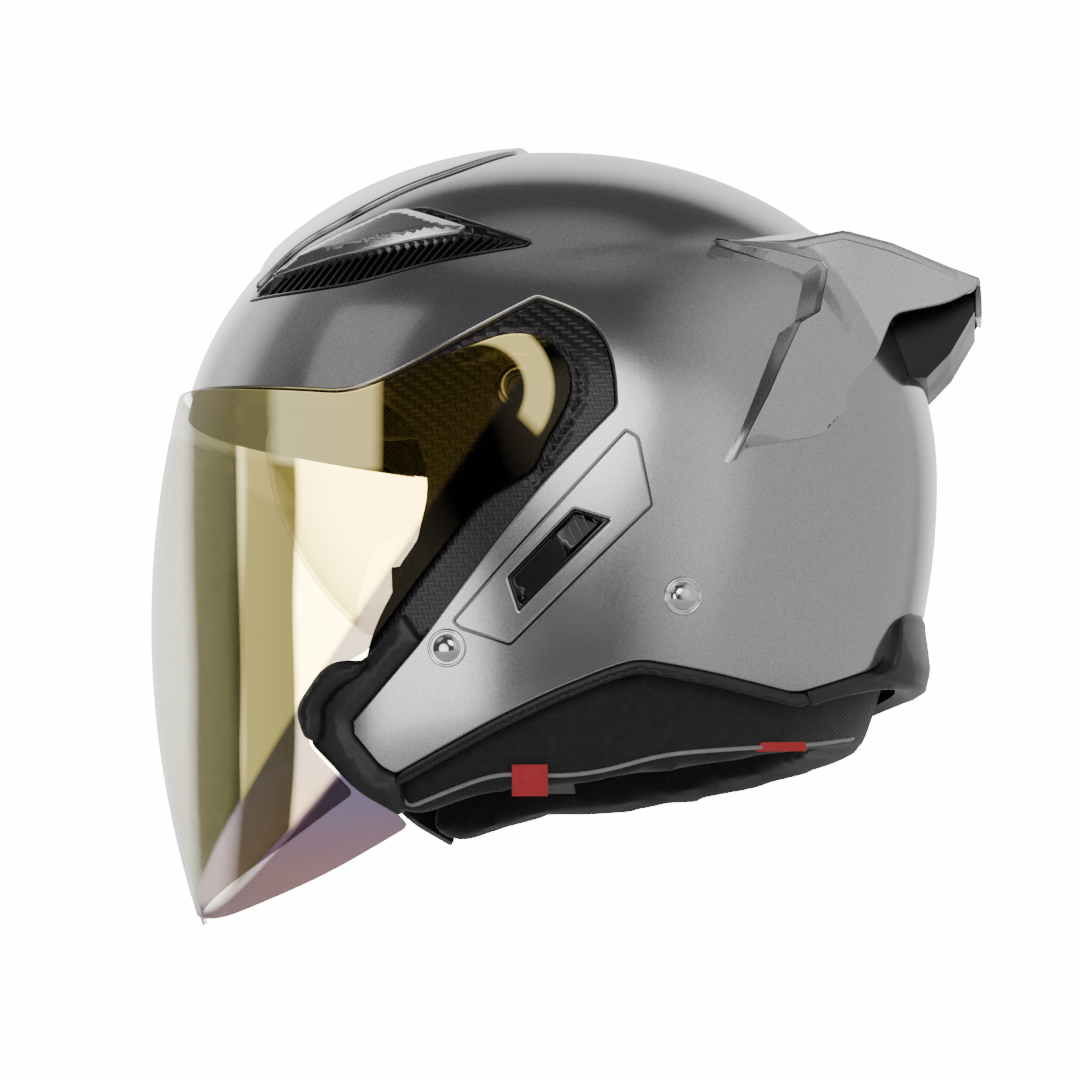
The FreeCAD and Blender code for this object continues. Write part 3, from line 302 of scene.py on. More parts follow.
def plate(build, top, bottom, loops, spacing, width, rows, seeds=None, lines=(), slot=0, under=None):
    """A closed plate between two surfaces, its rim rounded over a width; under is its foot's own slot."""
    loops = [finer(np.array(loop), 5.0) for loop in loops]
    loops = [loop if (turning(loop) > 0) == (k == 0) else loop[::-1] for k, loop in enumerate(loops)]
    uv, tris, rim = triangles(loops, spacing, seeds, lines)
    inner_uv = uv.copy()
    starts, at = [], 0
    for loop in loops:
        starts.append((at, len(loop)))
        at += len(loop)
    tangents = np.zeros((rim, 3))
    outline = top(uv[:rim])
    for first, count in starts:
        ring = outline[first:first + count]
        tangents[first:first + count] = unit(np.roll(ring, -1, 0) - np.roll(ring, 1, 0))
    up = normals(top, uv[:rim])
    inward = unit(np.cross(up, tangents))
    by_u, by_v = slopes(top, uv[:rim])
    for i in range(rim):
        matrix = np.stack([by_u[i], by_v[i]], 1)
        shift = np.linalg.lstsq(matrix, inward[i] * width, rcond=None)[0]
        inner_uv[i] += shift * min(1.0, 4.0 * width / (np.linalg.norm(shift) + 1e-9))
    upper, upper_normals = top(inner_uv), normals(top, inner_uv)
    lower = bottom(uv)
    lower_normals = -normals(bottom, uv)
    points, faces, corners = list(upper), [], []
    for a, b, c in tris:
        faces.append((a, b, c))
        corners += [upper_normals[a], upper_normals[b], upper_normals[c]]
    base = len(points)
    points += list(lower)
    for a, b, c in tris:
        faces.append((base + c, base + b, base + a))
        corners += [lower_normals[c], lower_normals[b], lower_normals[a]]
    drop = lower[:rim] - outline
    grid = [upper[:rim]]
    for inset, height in rows[1:]:
        grid.append(outline + inward * width * inset + drop * (1.0 - height))
    steps = [grid[k + 1] - grid[k] for k in range(len(grid) - 1)]
    flat = [unit(np.cross(step, tangents)) for step in steps]
    rows_at = [np.arange(rim)]
    for k in range(1, len(grid)):
        if k == len(grid) - 1:
            rows_at.append(base + np.arange(rim))
        else:
            rows_at.append(len(points) + np.arange(rim))
            points += list(grid[k])
    for k in range(len(flat)):
        before = flat[k - 1] if k else upper_normals[:rim]
        after = flat[k + 1] if k + 1 < len(flat) else flat[k]
        start = np.where((np.sum(before * flat[k], 1) > 0.55)[:, None], unit(before + flat[k]), flat[k])
        if k == 0:
            start = np.where((np.sum(before * flat[k], 1) > 0.55)[:, None], before, flat[k])
        end = np.where((np.sum(after * flat[k], 1) > 0.55)[:, None], unit(after + flat[k]), flat[k])
        for first, count in starts:
            for i in range(count):
                a, b = first + i, first + (i + 1) % count
                faces.append((rows_at[k][a], rows_at[k + 1][a], rows_at[k + 1][b], rows_at[k][b]))
                corners += [start[a], end[a], end[b], start[b]]
    build.add(points, faces, corners, slot)
    if under is not None:
        first = len(build.slots) - len(faces) + len(tris)
        build.slots[first:first + len(tris)] = [under] * len(tris)
    return build


def ruled(build, upper, lower):
    """A strip between two lines of as many points, its outer side facing forwards and out."""
    upper, lower = np.array(upper), np.array(lower)
    along = unit(np.gradient((upper + lower) / 2.0, axis=0))
    facing = unit(np.cross(along, upper - lower))
    if np.mean(facing @ np.array((0.6, -0.8, 0.0))) < 0:
        facing = -facing
    count, faces, corners = len(upper), [], []
    for i in range(count - 1):
        quad = (i, i + 1, count + i + 1, count + i)
        flat = np.cross(upper[i + 1] - upper[i], lower[i] - upper[i])
        if flat @ facing[i] < 0:
            quad = quad[::-1]
        faces.append(quad)
        corners += [facing[k % count] for k in quad]
    build.add(np.concatenate([upper, lower]), faces, corners)
    return build


def sweep(build, path, side, section, slot=0):
    """A tube or strip along points: section holds (across, out) pairs, side the way across."""
    path = np.array(path, float)
    ahead = unit(np.gradient(path, axis=0))
    side = np.broadcast_to(side, path.shape)
    across = unit(side - ahead * np.sum(side * ahead, 1, keepdims=True))
    out = np.cross(ahead, across)
    count, turns = len(section), len(path)
    points = np.array([path[i] + across[i] * u + out[i] * v for i in range(turns) for u, v in section])
    ring = points.reshape(turns, count, 3)
    around = np.roll(ring, -1, 1) - np.roll(ring, 1, 1)
    smooth = unit(np.cross(around, np.gradient(ring, axis=0))).reshape(-1, 3)
    if np.mean(np.sum(smooth * (points - np.repeat(path, count, 0)), 1)) < 0:
        smooth = -smooth
    faces, corners = [], []
    for i in range(turns - 1):
        for j in range(count):
            a, b = i * count + j, i * count + (j + 1) % count
            c, d = b + count, a + count
            quad = (a, b, c, d)
            way = np.cross(points[b] - points[a], points[d] - points[a])
            if np.dot(way, smooth[a] + smooth[c]) < 0:
                quad = (d, c, b, a)
            faces.append(quad)
            corners += [smooth[k] for k in quad]
    for end, way in ((0, -1), (turns - 1, 1)):
        cap = [end * count + j for j in range(count)]
        flat_way = np.cross(points[cap[1]] - points[cap[0]], points[cap[2]] - points[cap[1]])
        if np.dot(flat_way, ahead[end]) * way < 0:
            cap = cap[::-1]
        faces.append(tuple(cap))
        corners += [ahead[end] * way] * count
    build.add(points, faces, corners, slot)
    return build


def circle(radius, count=12, flat=1.0):
    return [(radius * math.cos(2 * math.pi * k / count), flat * radius * math.sin(2 * math.pi * k / count))
            for k in range(count)]


def lathe(build, centre, axis, profile, count):
    """A turned part: profile holds (radius, height along the axis) pairs from one end to the other."""
    axis = unit(np.array(axis, float))
    helper = np.array((0.0, 0.0, 1.0)) if abs(axis[2]) < 0.9 else np.array((0.0, 1.0, 0.0))
    u = unit(np.cross(helper, axis))
    v = np.cross(axis, u)
    profile = np.array(profile, float)
    steps = np.diff(profile, axis=0)
    flat = unit(np.stack([steps[:, 1], -steps[:, 0]], -1))
    points, faces, corners = [], [], []
    angles = [math.radians(360.0) * k / count for k in range(count)]
    ways = [u * math.cos(a) + v * math.sin(a) for a in angles]
    for radius, height in profile:
        for way in ways:
            points.append(np.array(centre) + way * radius + axis * height)
    for k in range(len(profile) - 1):
        before = flat[k - 1] if k else flat[k]
        after = flat[k + 1] if k + 1 < len(flat) else flat[k]
        low = unit(before + flat[k]) if before @ flat[k] > 0.6 else flat[k]
        high = unit(after + flat[k]) if after @ flat[k] > 0.6 else flat[k]
        for j in range(count):
            n = (j + 1) % count
            a, b, c, d = k * count + j, k * count + n, (k + 1) * count + n, (k + 1) * count + j
            faces.append((a, b, c, d))
            corners += [ways[j] * low[0] + axis * low[1], ways[n] * low[0] + axis * low[1],
                        ways[n] * high[0] + axis * high[1], ways[j] * high[0] + axis * high[1]]
    build.add(points, faces, corners)
    return build


def placed(name, data):
    """A new object in the scene."""
    obj = bpy.data.objects.new(name, data)
    bpy.context.scene.collection.objects.link(obj)
    return obj


def mesh_of(name, build):
    mesh = bpy.data.meshes.new(name)
    mesh.from_pydata([tuple(c * MM for c in p) for p in build.points], [], build.faces)
    return mesh


def piece(name, build, paints, body="shell", replaces=()):
    """Makes the mesh object in metres, rides it on its body and hides the CAD nodes it stands in for."""
    mesh = mesh_of(name, build)
    mesh.polygons.foreach_set("use_smooth", [True] * len(mesh.polygons))
    mesh.polygons.foreach_set("material_index", build.slots)
    mesh.normals_split_custom_set([Vector(n) for n in build.normals])
    obj = placed(name, mesh)
    for paint in (paints if isinstance(paints, (list, tuple)) else [paints]):
        mesh.materials.append(paint)
    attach(obj, body)
    if replaces:
        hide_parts(*replaces)
    return obj


def pair(name, build, paints, body="shell", nodes=()):
    """A piece on the wearer's left and its mirror image on the right."""
    for side, made in (("left", build), ("right", build.mirrored())):
        where = body.replace("SIDE", side)
        piece(f"{name}_{side}", made, paints, where, [f"{n}_{side}" for n in nodes])

# ---------------------------------------------------------------- materials

class Paint:
    """A material built from nodes around one Principled shader."""

    def __init__(self, name, **sockets):
        self.mat = bpy.data.materials.new(name)
        self.mat.use_nodes = True
        self.tree = self.mat.node_tree
        self.shader = self.tree.nodes["Principled BSDF"]
        self.place = self.tree.nodes.new("ShaderNodeTexCoord").outputs["Object"]
        for socket, value in sockets.items():
            self.shader.inputs[socket.replace("_", " ")].default_value = value

    def node(self, kind, **inputs):
        item = self.tree.nodes.new(kind)
        for key, value in inputs.items():
            if hasattr(item, key):
                setattr(item, key, value)
            else:
                self.link(value, item.inputs[key.replace("_", " ")])
        return item

    def link(self, value, socket):
        if isinstance(value, bpy.types.NodeSocket):
            self.tree.links.new(value, socket)
        else:
            socket.default_value = value

    def maths(self, operation, a, b=0.0):
        item = self.node("ShaderNodeMath", operation=operation)
        for value, socket in zip((a, b), item.inputs):
            self.link(value, socket)
        return item.outputs[0]

    def plus(self, a, b):
        return self.maths("ADD", a, b)

    def times(self, a, b):
        return self.maths("MULTIPLY", a, b)

    def axes(self):
        return self.node("ShaderNodeSeparateXYZ", Vector=self.place).outputs

    def blend(self, share, first, second):
        """The output of a shader that goes from the first to the second as the share rises."""
        mix = self.node("ShaderNodeMixShader")
        for value, socket in zip((share, first, second), mix.inputs):
            self.link(value, socket)
        return mix.outputs[0]

    def show(self, shader):
        self.link(shader, self.tree.nodes["Material Output"].inputs["Surface"])

    def noise(self, scale, detail=3.0):
        return self.node("ShaderNodeTexNoise", Vector=self.place, Scale=scale, Detail=detail).outputs["Fac"]

    def cells(self, scale, output="Distance"):
        return self.node("ShaderNodeTexVoronoi", Vector=self.place, Scale=scale).outputs[output]

    def spread(self, value, low, high, start=0.3, end=0.7):
        item = self.tree.nodes.new("ShaderNodeMapRange")
        for socket, number in zip(("From Min", "From Max", "To Min", "To Max"), (start, end, low, high)):
            item.inputs[socket].default_value = number
        self.link(value, item.inputs["Value"])
        return item.outputs["Result"]

    def colours(self, value, stops):
        ramp = self.tree.nodes.new("ShaderNodeValToRGB")
        self.link(value, ramp.inputs["Fac"])
        elements = ramp.color_ramp.elements
        while len(elements) < len(stops):
            elements.new(0.5)
        for element, (position, colour) in zip(elements, stops):
            element.position = position
            element.color = (*colour, 1.0)
        return ramp.outputs["Color"]

    def set(self, socket, value):
        self.link(value, self.shader.inputs[socket])
        return self

    def bump(self, height, distance, strength=1.0):
        item = self.node("ShaderNodeBump", Height=height, Distance=distance, Strength=strength)
        chained = self.shader.inputs["Normal"].links
        if chained:
            self.link(chained[0].from_socket, item.inputs["Normal"])
        self.link(item.outputs["Normal"], self.shader.inputs["Normal"])
        return self


def grey(value, tint=(1.0, 1.0, 1.0)):
    return tuple(value * t for t in tint)


def metallic_paint(name, dark, light, rough):
    """Silver paint: tiny flakes under a clear coat with a faint orange peel."""
    paint = Paint(name, Metallic=0.9, Coat_Weight=0.8, Coat_Roughness=0.03, Coat_IOR=1.5)
    flakes = paint.cells(2600.0, "Color")
    mean = paint.node("ShaderNodeSeparateColor", Color=flakes).outputs[0]
    silver = (1.0, 0.99, 1.0)
    paint.set("Base Color", paint.colours(mean, [(0.0, grey(dark, silver)), (1.0, grey(light, silver))]))
    paint.set("Roughness", paint.spread(paint.noise(14.0), rough - 0.02, rough + 0.03))
    return paint.bump(paint.noise(500.0, 1.0), 0.00001, 0.06).mat


def moulded(name, dark, light, rough, grain=1800.0, depth=0.00004, **sockets):
    """Moulded plastic or rubber: a fine grain and a little unevenness in its gloss."""
    paint = Paint(name, **sockets)
    paint.set("Base Color", paint.colours(paint.noise(60.0), [(0.3, dark), (0.7, light)]))
    paint.set("Roughness", paint.spread(paint.noise(25.0), rough - 0.05, rough + 0.06))
    return paint.bump(paint.noise(grain, 2.0), depth, 0.6).mat


def woven(name, dark, light, pitch, depth, rough, sheen=0.2):
    """Cloth or webbing: threads over and under, at a pitch in metres."""
    paint = Paint(name, Sheen_Weight=sheen, Sheen_Roughness=0.5)
    parts = paint.axes()
    weft, warp = (paint.maths("SINE", paint.times(parts[way], 2 * math.pi / pitch)) for way in ("Y", "Z"))
    height = paint.plus(paint.times(paint.times(weft, warp), 0.5), 0.5)
    mottle = paint.times(paint.noise(220.0), 0.6)
    paint.set("Base Color", paint.colours(paint.plus(mottle, paint.times(height, 0.4)),
                                          [(0.25, dark), (0.75, light)]))
    paint.set("Roughness", paint.spread(paint.noise(300.0), rough - 0.06, rough + 0.05))
    return paint.bump(height, depth, 0.7).bump(paint.noise(1500.0), depth * 0.5, 0.5).mat


def carbon_weave(name):
    """A twill of glossy black tows: each runs over two and under two of the others."""
    paint = Paint(name, Coat_Weight=0.2, Coat_Roughness=0.15, Specular_IOR_Level=0.3)
    tow = 0.0017
    parts = paint.axes()
    u = paint.times(paint.plus(parts["Y"], paint.times(parts["Z"], 0.35)), 1.0 / tow)
    v = paint.times(parts["Z"], 1.0 / tow)
    step = paint.plus(paint.maths("FLOOR", u), paint.maths("FLOOR", v))
    over = paint.maths("LESS_THAN", paint.maths("MODULO", paint.plus(step, 400.0), 4.0), 1.5)
    warp = paint.maths("ABSOLUTE", paint.maths("SINE", paint.times(u, math.pi)))
    weft = paint.maths("ABSOLUTE", paint.maths("SINE", paint.times(v, math.pi)))
    height = paint.node("ShaderNodeMix", Factor=over, data_type="FLOAT")
    paint.link(warp, height.inputs["A"])
    paint.link(weft, height.inputs["B"])
    paint.set("Base Color", paint.colours(over, [(0.0, grey(0.008)), (1.0, grey(0.022))]))
    paint.set("Roughness", paint.spread(height.outputs["Result"], 0.5, 0.3, 0.0, 1.0))
    return paint.bump(height.outputs["Result"], 0.0003, 0.6).mat


def coated(paint, window, low, high, rough):
    """A clear window whose mirror coat grows stronger towards a glancing view: its shader and the angle."""
    angle = paint.node("ShaderNodeLayerWeight", Blend=0.35).outputs["Facing"]
    paint.set("Roughness", paint.spread(paint.noise(40.0), rough, rough + 0.015))
    clear = paint.node("ShaderNodeBsdfTransparent", Color=window).outputs[0]
    share = paint.spread(angle, low, high, 0.3, 1.0)
    return paint.blend(share, clear, paint.shader.outputs[0]), angle


def below_fold(paint, parts, most, full, none):
    """How far a place is below the fold that runs up and back from the visor's tip."""
    fold = paint.plus(parts["Z"], paint.times(paint.plus(parts["Y"], 0.102), -1.4))
    return paint.spread(fold, most, 0.0, full, none)


def painted_brow_reflection(paint, parts):
    """A painted reflection: the bright band along the brow's edge, which curves down towards the visor's
    sides.
    """
    ahead = paint.plus(parts["Y"], BROW_BEND)
    height = paint.maths("SUBTRACT", parts["Z"], paint.times(paint.times(ahead, ahead), 2.6))
    in_front = paint.spread(ahead, 1.0, 0.0, -0.008, -0.003)
    return paint.times(paint.spread(height, 0.0, 1.0, 0.004, 0.007), in_front)


def painted_pivot_reflection(paint, parts):
    """A painted reflection: the bright arc behind and above the visor's pivot."""
    up, back = paint.maths("SUBTRACT", parts["Z"], ARC_AT[1]), paint.maths("SUBTRACT", parts["Y"], ARC_AT[0])
    reach = paint.maths("SQRT", paint.plus(paint.times(up, up), paint.times(back, back)))
    outer, inner = paint.spread(reach, 0.0, 1.0, 0.017, 0.019), paint.spread(reach, 1.0, 0.0, 0.027, 0.029)
    return paint.times(paint.times(outer, inner), paint.spread(paint.plus(up, back), 0.0, 1.0, 0.004, 0.01))


def visor_coat(name):
    """Clear and straw coloured at the sides, silvered in front, violet and rose towards the tip, with
    painted reflections that glow along the brow's edge and round the pivot.
    """
    paint = Paint(name, Metallic=1.0)
    parts = paint.axes()
    wobble = paint.times(paint.maths("SUBTRACT", paint.noise(8.0, 1.0), 0.5), 0.01)
    along = paint.plus(parts["Y"], wobble)
    across = paint.colours(paint.spread(along, 0.0, 1.0, -0.165, -0.055), FRONT_TO_SIDE)
    sweep_up = paint.plus(parts["Z"], paint.times(parts["Y"], -0.55))
    low = paint.colours(paint.spread(sweep_up, 0.0, 1.0, -0.095, -0.035), ROSE_TO_VIOLET)
    tint = paint.node("ShaderNodeMix", data_type="RGBA")
    for socket, value in zip(COLOUR_MIX, (below_fold(paint, parts, 1.0, -0.094, -0.09), across, low)):
        paint.link(value, tint.inputs[socket])
    shader, angle = coated(paint, tint.outputs[2], 0.008, 0.25, 0.02)
    paint.set("Base Color", paint.colours(angle, GOLD_TO_BLUE))
    # Painted reflections: an emission that shines along the brow's edge and round the pivot, not lit by any
    # lamp.
    bright = paint.colours(paint.spread(along, 0.0, 1.0, -0.155, -0.055), PAINTED_REFLECTION_COLOURS)
    share = paint.maths("MAXIMUM", painted_brow_reflection(paint, parts), painted_pivot_reflection(paint, parts))
    painted_glow = paint.node("ShaderNodeEmission", Color=bright, Strength=share)
    both = paint.node("ShaderNodeAddShader")
    paint.link(shader, both.inputs[0])
    paint.link(painted_glow.outputs[0], both.inputs[1])
    paint.show(both.outputs[0])
    return paint.mat


def inner_coat(name):
    """The lens's inner face: clear from outside, and a glowing orange to violet film from within."""
    paint = Paint(name, Roughness=0.2)
    parts = paint.axes()
    slant = paint.plus(parts["Z"], paint.times(parts["Y"], 0.25))
    film = paint.colours(paint.spread(slant, 0.0, 1.0, -0.19, -0.105), FILM)
    seen_inside = paint.maths("SUBTRACT", 1.0, paint.node("ShaderNodeNewGeometry").outputs["Backfacing"])
    share = paint.times(seen_inside, below_fold(paint, parts, 0.95, -0.096, -0.088))
    clear = paint.node("ShaderNodeBsdfTransparent", Color=(0.98, 0.96, 0.86, 1.0)).outputs[0]
    glow = paint.node("ShaderNodeBsdfTranslucent", Color=film).outputs[0]
    paint.set("Roughness", paint.spread(paint.noise(30.0), 0.1, 0.2))
    paint.set("Base Color", film)
    paint.show(paint.blend(share, clear, paint.blend(0.2, glow, paint.shader.outputs[0])))
    return paint.mat


def smoked(name, window, low, high):
    paint = Paint(name, Metallic=0.6)
    paint.show(coated(paint, (*window, 1.0), low, high, 0.03)[0])
    paint.set("Base Color", paint.colours(paint.noise(12.0), [(0.2, grey(0.2)), (0.8, grey(0.26))]))
    return paint.mat


def beads(name):
    """Moulded foam of small beads pressed together."""
    paint = Paint(name, Roughness=0.8)
    gap = paint.cells(420.0)
    paint.set("Base Color", paint.colours(gap, [(0.0, grey(0.05)), (0.6, grey(0.022))]))
    paint.set("Roughness", paint.spread(gap, 0.7, 0.9))
    return paint.bump(gap, -0.0003, 0.6).mat


def metal(name, colour, rough):
    paint = Paint(name, Metallic=1.0)
    paint.set("Base Color", paint.colours(paint.noise(60.0), [(0.3, grey(0.88, colour)), (0.7, colour)]))
    paint.set("Roughness", paint.spread(paint.noise(240.0, 4.0), rough, rough + 0.08))
    return paint.bump(paint.noise(2500.0), 0.00001, 0.2).mat


SHELL_PAINT = metallic_paint("shell_paint", 0.36, 0.5, 0.17)
BRIGHT_PAINT = metallic_paint("bright_paint", 0.42, 0.58, 0.17)
TRIM = moulded("satin_trim", grey(0.012), grey(0.02), 0.42)
GLOSS = moulded("gloss_black", grey(0.006), grey(0.01), 0.14, 600.0, 0.00001,
                Coat_Weight=1.0, Coat_Roughness=0.04)
VENT = moulded("vent_black", grey(0.008), grey(0.014), 0.36)
CARBON = carbon_weave("carbon_plate")
DIFFUSER = moulded("diffuser_black", grey(0.004), grey(0.008), 0.3, 600.0, 0.00001, Specular_IOR_Level=0.15)
RUBBER = moulded("rubber_trim", grey(0.012), grey(0.02), 0.68, 900.0, 0.0001)
FABRIC = woven("liner_fabric", grey(0.006), grey(0.016), 0.0016, 0.0002, 0.86)
MESH_CLOTH = woven("liner_mesh", grey(0.01), grey(0.028), 0.0024, 0.0004, 0.8, 0.3)
PIPING = woven("grey_piping", grey(0.22), grey(0.34), 0.0012, 0.0001, 0.6)
WEBBING = woven("webbing", grey(0.01), grey(0.03), 0.0014, 0.0003, 0.7)
RED = woven("red_tab", (0.42, 0.006, 0.012), (0.62, 0.012, 0.02), 0.0007, 0.00008, 0.55)
FOAM = beads("impact_foam")
CHROME = metal("rivet_chrome", (0.86, 0.85, 0.84), 0.05)
STEEL = metal("dark_steel", (0.32, 0.32, 0.34), 0.25)
SPRING_STEEL = metal("spring_steel", (0.55, 0.55, 0.56), 0.2)
COLOUR_MIX = (0, 6, 7)      # a colour Mix node's factor and its two colours
# Places of the visor's painted reflections: how far forward the brow band bends, and the middle of the arc
# by the pivot.
BROW_BEND = 0.057
ARC_AT = (-0.025, 0.034)
# Colours of the visor's painted reflections, from the front of the lens back.
PAINTED_REFLECTION_COLOURS = [
    (0.0, (0.4, 0.4, 0.38)),
    (0.12, (0.36, 0.36, 0.32)),
    (0.17, (0.15, 0.14, 0.07)),
    (0.49, (0.17, 0.155, 0.06)),
    (0.55, (0.92, 0.8, 0.38)),
    (1.0, (0.95, 0.78, 0.25)),
]
GOLD_TO_BLUE = [
    (0.0, (0.9, 0.8, 0.5)),
    (0.4, (0.85, 0.7, 0.55)),
    (0.6, (0.75, 0.55, 0.62)),
    (1.0, (0.8, 0.84, 0.95)),
]
FRONT_TO_SIDE = [
    (0.0, (0.38, 0.39, 0.4)),
    (0.2, (0.3, 0.305, 0.29)),
    (0.26, (0.045, 0.044, 0.028)),
    (0.415, (0.035, 0.034, 0.018)),
    (0.44, (1.0, 0.9, 0.5)),
    (0.6, (1.0, 0.93, 0.6)),
    (1.0, (1.0, 0.86, 0.45)),
]
ROSE_TO_VIOLET = [
    (0.0, (0.17, 0.15, 0.185)),
    (0.3, (0.216, 0.173, 0.203)),
    (0.5, (0.202, 0.158, 0.203)),
    (0.75, (0.18, 0.158, 0.234)),
    (1.0, (0.158, 0.144, 0.203)),
]
FILM = [
    (0.0, (0.85, 0.55, 0.45)),
    (0.3, (0.95, 0.5, 0.36)),
    (0.5, (0.8, 0.42, 0.52)),
    (0.72, (0.55, 0.42, 0.68)),
    (0.88, (0.38, 0.45, 0.72)),
    (1.0, (0.5, 0.42, 0.55)),
]
LENS_INSIDE = inner_coat("visor_lens_inside")
LENS = visor_coat("visor_lens")
SUN_LENS = smoked("sun_lens", (0.93, 0.92, 0.86), 0.015, 0.3)

# ---------------------------------------------------------------- outlines in side view (y, z)

RIM = [(-151.5, 47.5), (-115.0, 41.0, 12.0), (-75.0, 35.6, 9.0), (-61.0, 40.0, 6.0), (-51.0, 44.6, 6.0),
       (-32.0, 54.8, 6.0), (-3.3, 70.4, 2.5), (10.6, 65.1, 8.0), (18.4, 59.0, 8.0), (23.3, 50.4, 8.0),
       (25.6, 39.7, 8.0), (26.1, 28.0, 1.5), (-0.5, 0.5, 9.0), (-35.5, -43.2, 9.0), (-46.5, -57.6, 9.0),
       (-73.3, -86.5, 1.0)]
HEM = [(-73.0, -91.3, 1.0), (-63.0, -103.6, 3.0), (-57.0, -106.6, 2.0), (-18.5, -86.5, 9.0),
       (2.3, -76.8, 9.0), (23.3, -68.4, 6.0), (34.0, -65.2, 6.0), (58.5, -69.3, 9.0), (90.6, -76.1, 5.0),
       (104.8, -71.0, 5.0), (121.0, -64.0, 6.0), (129.2, -44.2, 5.0), (136.5, -40.7, 1.0)]
SCOOP = [(-118.0, 77.8, 1.0), (-108.7, 85.9, 6.0), (-102.0, 92.3, 6.0), (-61.7, 108.9, 6.0),
         (-48.7, 109.4, 3.0), (-6.5, 92.5, 0.8), (-8.6, 90.9, 0.8), (-42.7, 85.2, 9.0),
         (-63.2, 80.2, 9.0), (-75.7, 78.0, 9.0), (-95.0, 77.0, 9.0)]
BLADE = [(-108.7, 85.9, 0.8), (-97.6, 94.6, 9.0), (-61.7, 108.9, 5.0), (-55.3, 108.6, 2.0),
         (-31.4, 99.2, 0.9), (-33.5, 96.7, 0.9), (-62.3, 92.9, 12.0), (-80.0, 90.0, 12.0)]
SIDE_PLATE = [(-34.4, -50.9, 2.0), (29.7, 19.1, 1.2), (34.0, 16.5, 1.8), (38.8, -8.6, 1.2),
              (-13.3, -59.5, 1.5), (-31.5, -53.5, 1.2)]
WINDOW = [(-13.9, -35.0, 0.8), (10.6, -10.2, 0.8), (23.8, -14.2, 0.8), (-9.9, -47.5, 0.8)]


def over_dome(lift):
    return lifted(SHELL.dome, lift)


def mirrored_dome(points):
    """An outline's twin on the wearer's right, in the map seen from above."""
    return points * np.array((-1.0, 1.0))


def near_half(corners):
    return rounded(corners, closed=False)


# ---------------------------------------------------------------- outer shell

CREASE = np.array([(-10.6, 86.3), (24.2, 90.0), (42.6, 91.4), (60.8, 93.8)])


def shell_relief(points):
    """The shoulder line from the brow scoop to the spoiler: the shell sinks a little below it."""
    depth = np.interp(points[:, 1], CREASE[:, 0], CREASE[:, 1]) - points[:, 2]
    under = 1.0 / (1.0 + np.exp(-np.clip(depth, -40.0, 60.0) / 1.6))
    under = under * np.clip(1.0 - depth / 34.0, 0.0, 1.0) ** 1.5
    along = np.clip((points[:, 1] + 18.0) / 40.0, 0.0, 1.0) * np.clip((84.0 - points[:, 1]) / 20.0, 0.0, 1.0)
    return -0.8 * under * along * along * (3.0 - 2.0 * along)


def dome_seeds(spacing, low_level):
    """Rings of points down the dome and the skirt, evenly spaced on the helmet itself."""
    seeds, radius = [(0.0, 0.0)], spacing
    lowest = ARC * math.pi / 2.0 + WIDEST - low_level
    while radius < lowest:
        round_trip = 2.0 * math.pi * 132.0 * math.sin(min(radius / ARC, math.pi / 2.0))
        count = max(8, int(round_trip / spacing))
        for k in range(count):
            angle = 2.0 * math.pi * (k + 0.5 * (round(radius / spacing) % 2)) / count
            seeds.append((radius * math.cos(angle), radius * math.sin(angle)))
        radius += spacing
    return np.array(seeds)


SHELL_WALL = 4.0
edge = np.concatenate([near_half(RIM), near_half(HEM)])
near_edge = SHELL.to_dome(edge)
shell_edge = np.concatenate([near_edge, mirrored_dome(near_edge)[::-1]])
scoop_hole = SHELL.to_dome(rounded(SCOOP))
window_hole = SHELL.to_dome(rounded(WINDOW))
shell = plate(Build(), over_dome(shell_relief), over_dome(-SHELL_WALL),
              [shell_edge, scoop_hole, mirrored_dome(scoop_hole), window_hole, mirrored_dome(window_hole)],
              3.4, 1.1, lip(0.3), dome_seeds(3.4, -110.0))
piece("outer_shell_skin", shell, SHELL_PAINT, "shell", ["outer_shell"])

# ---------------------------------------------------------------- visor lens

LENS_EDGE = [(-160.0, 46.0), (-150.0, 46.6), (-115.0, 40.0, 20.0), (-75.0, 34.6, 8.0), (-61.0, 38.6, 6.0),
             (-51.0, 43.2, 9.0), (-30.0, 50.6, 9.0), (-14.5, 56.0, 6.0), (-3.0, 55.2, 6.0),
             (5.0, 49.8, 6.0), (9.7, 42.0, 6.0), (10.2, 34.0, 6.0), (7.6, 26.0, 6.0), (1.8, 16.5, 4.0),
             (-4.1, 3.5, 3.0), (-22.2, -6.2, 6.0), (-30.0, -15.0, 6.0), (-48.0, -37.0, 9.0),
             (-66.5, -60.7, 4.0), (-78.0, -66.5, 4.0), (-90.6, -79.6, 2.0), (-91.0, -95.0, 3.0),
             (-73.5, -113.5, 3.0), (-103.2, -132.7, 12.0), (-131.0, -148.0, 9.0), (-144.4, -156.0, 8.0),
             (-162.0, -157.5)]
LENS_THICK = 2.0
lens_near = LENS_OUT.to_wrap(near_half(LENS_EDGE))
FRONT_ARC = -ARC * math.pi / 2.0
lens_far = np.stack([2.0 * FRONT_ARC - lens_near[:, 0], lens_near[:, 1]], -1)
lens_outline = np.concatenate([lens_near, lens_far[::-1]])
lens_outline[:, 0] = np.where(np.abs(lens_outline[:, 0] - FRONT_ARC) < 0.4, FRONT_ARC, lens_outline[:, 0])
keep = np.linalg.norm(lens_outline - np.roll(lens_outline, -1, 0), axis=1) > 0.02
lens = plate(Build(), LENS_OUT.wrap, lifted(LENS_OUT.wrap, -LENS_THICK), [lens_outline[keep]], 4.5, 0.9,
             lip(0.45), under=1)
piece("visor_lens_pane", lens, [LENS, LENS_INSIDE], "visor", ["visor_lens"])

# ---------------------------------------------------------------- panels that follow the shell

CHARTS = {"wrap": (SHELL.to_wrap, SHELL.wrap), "dome": (SHELL.to_dome, SHELL.dome)}


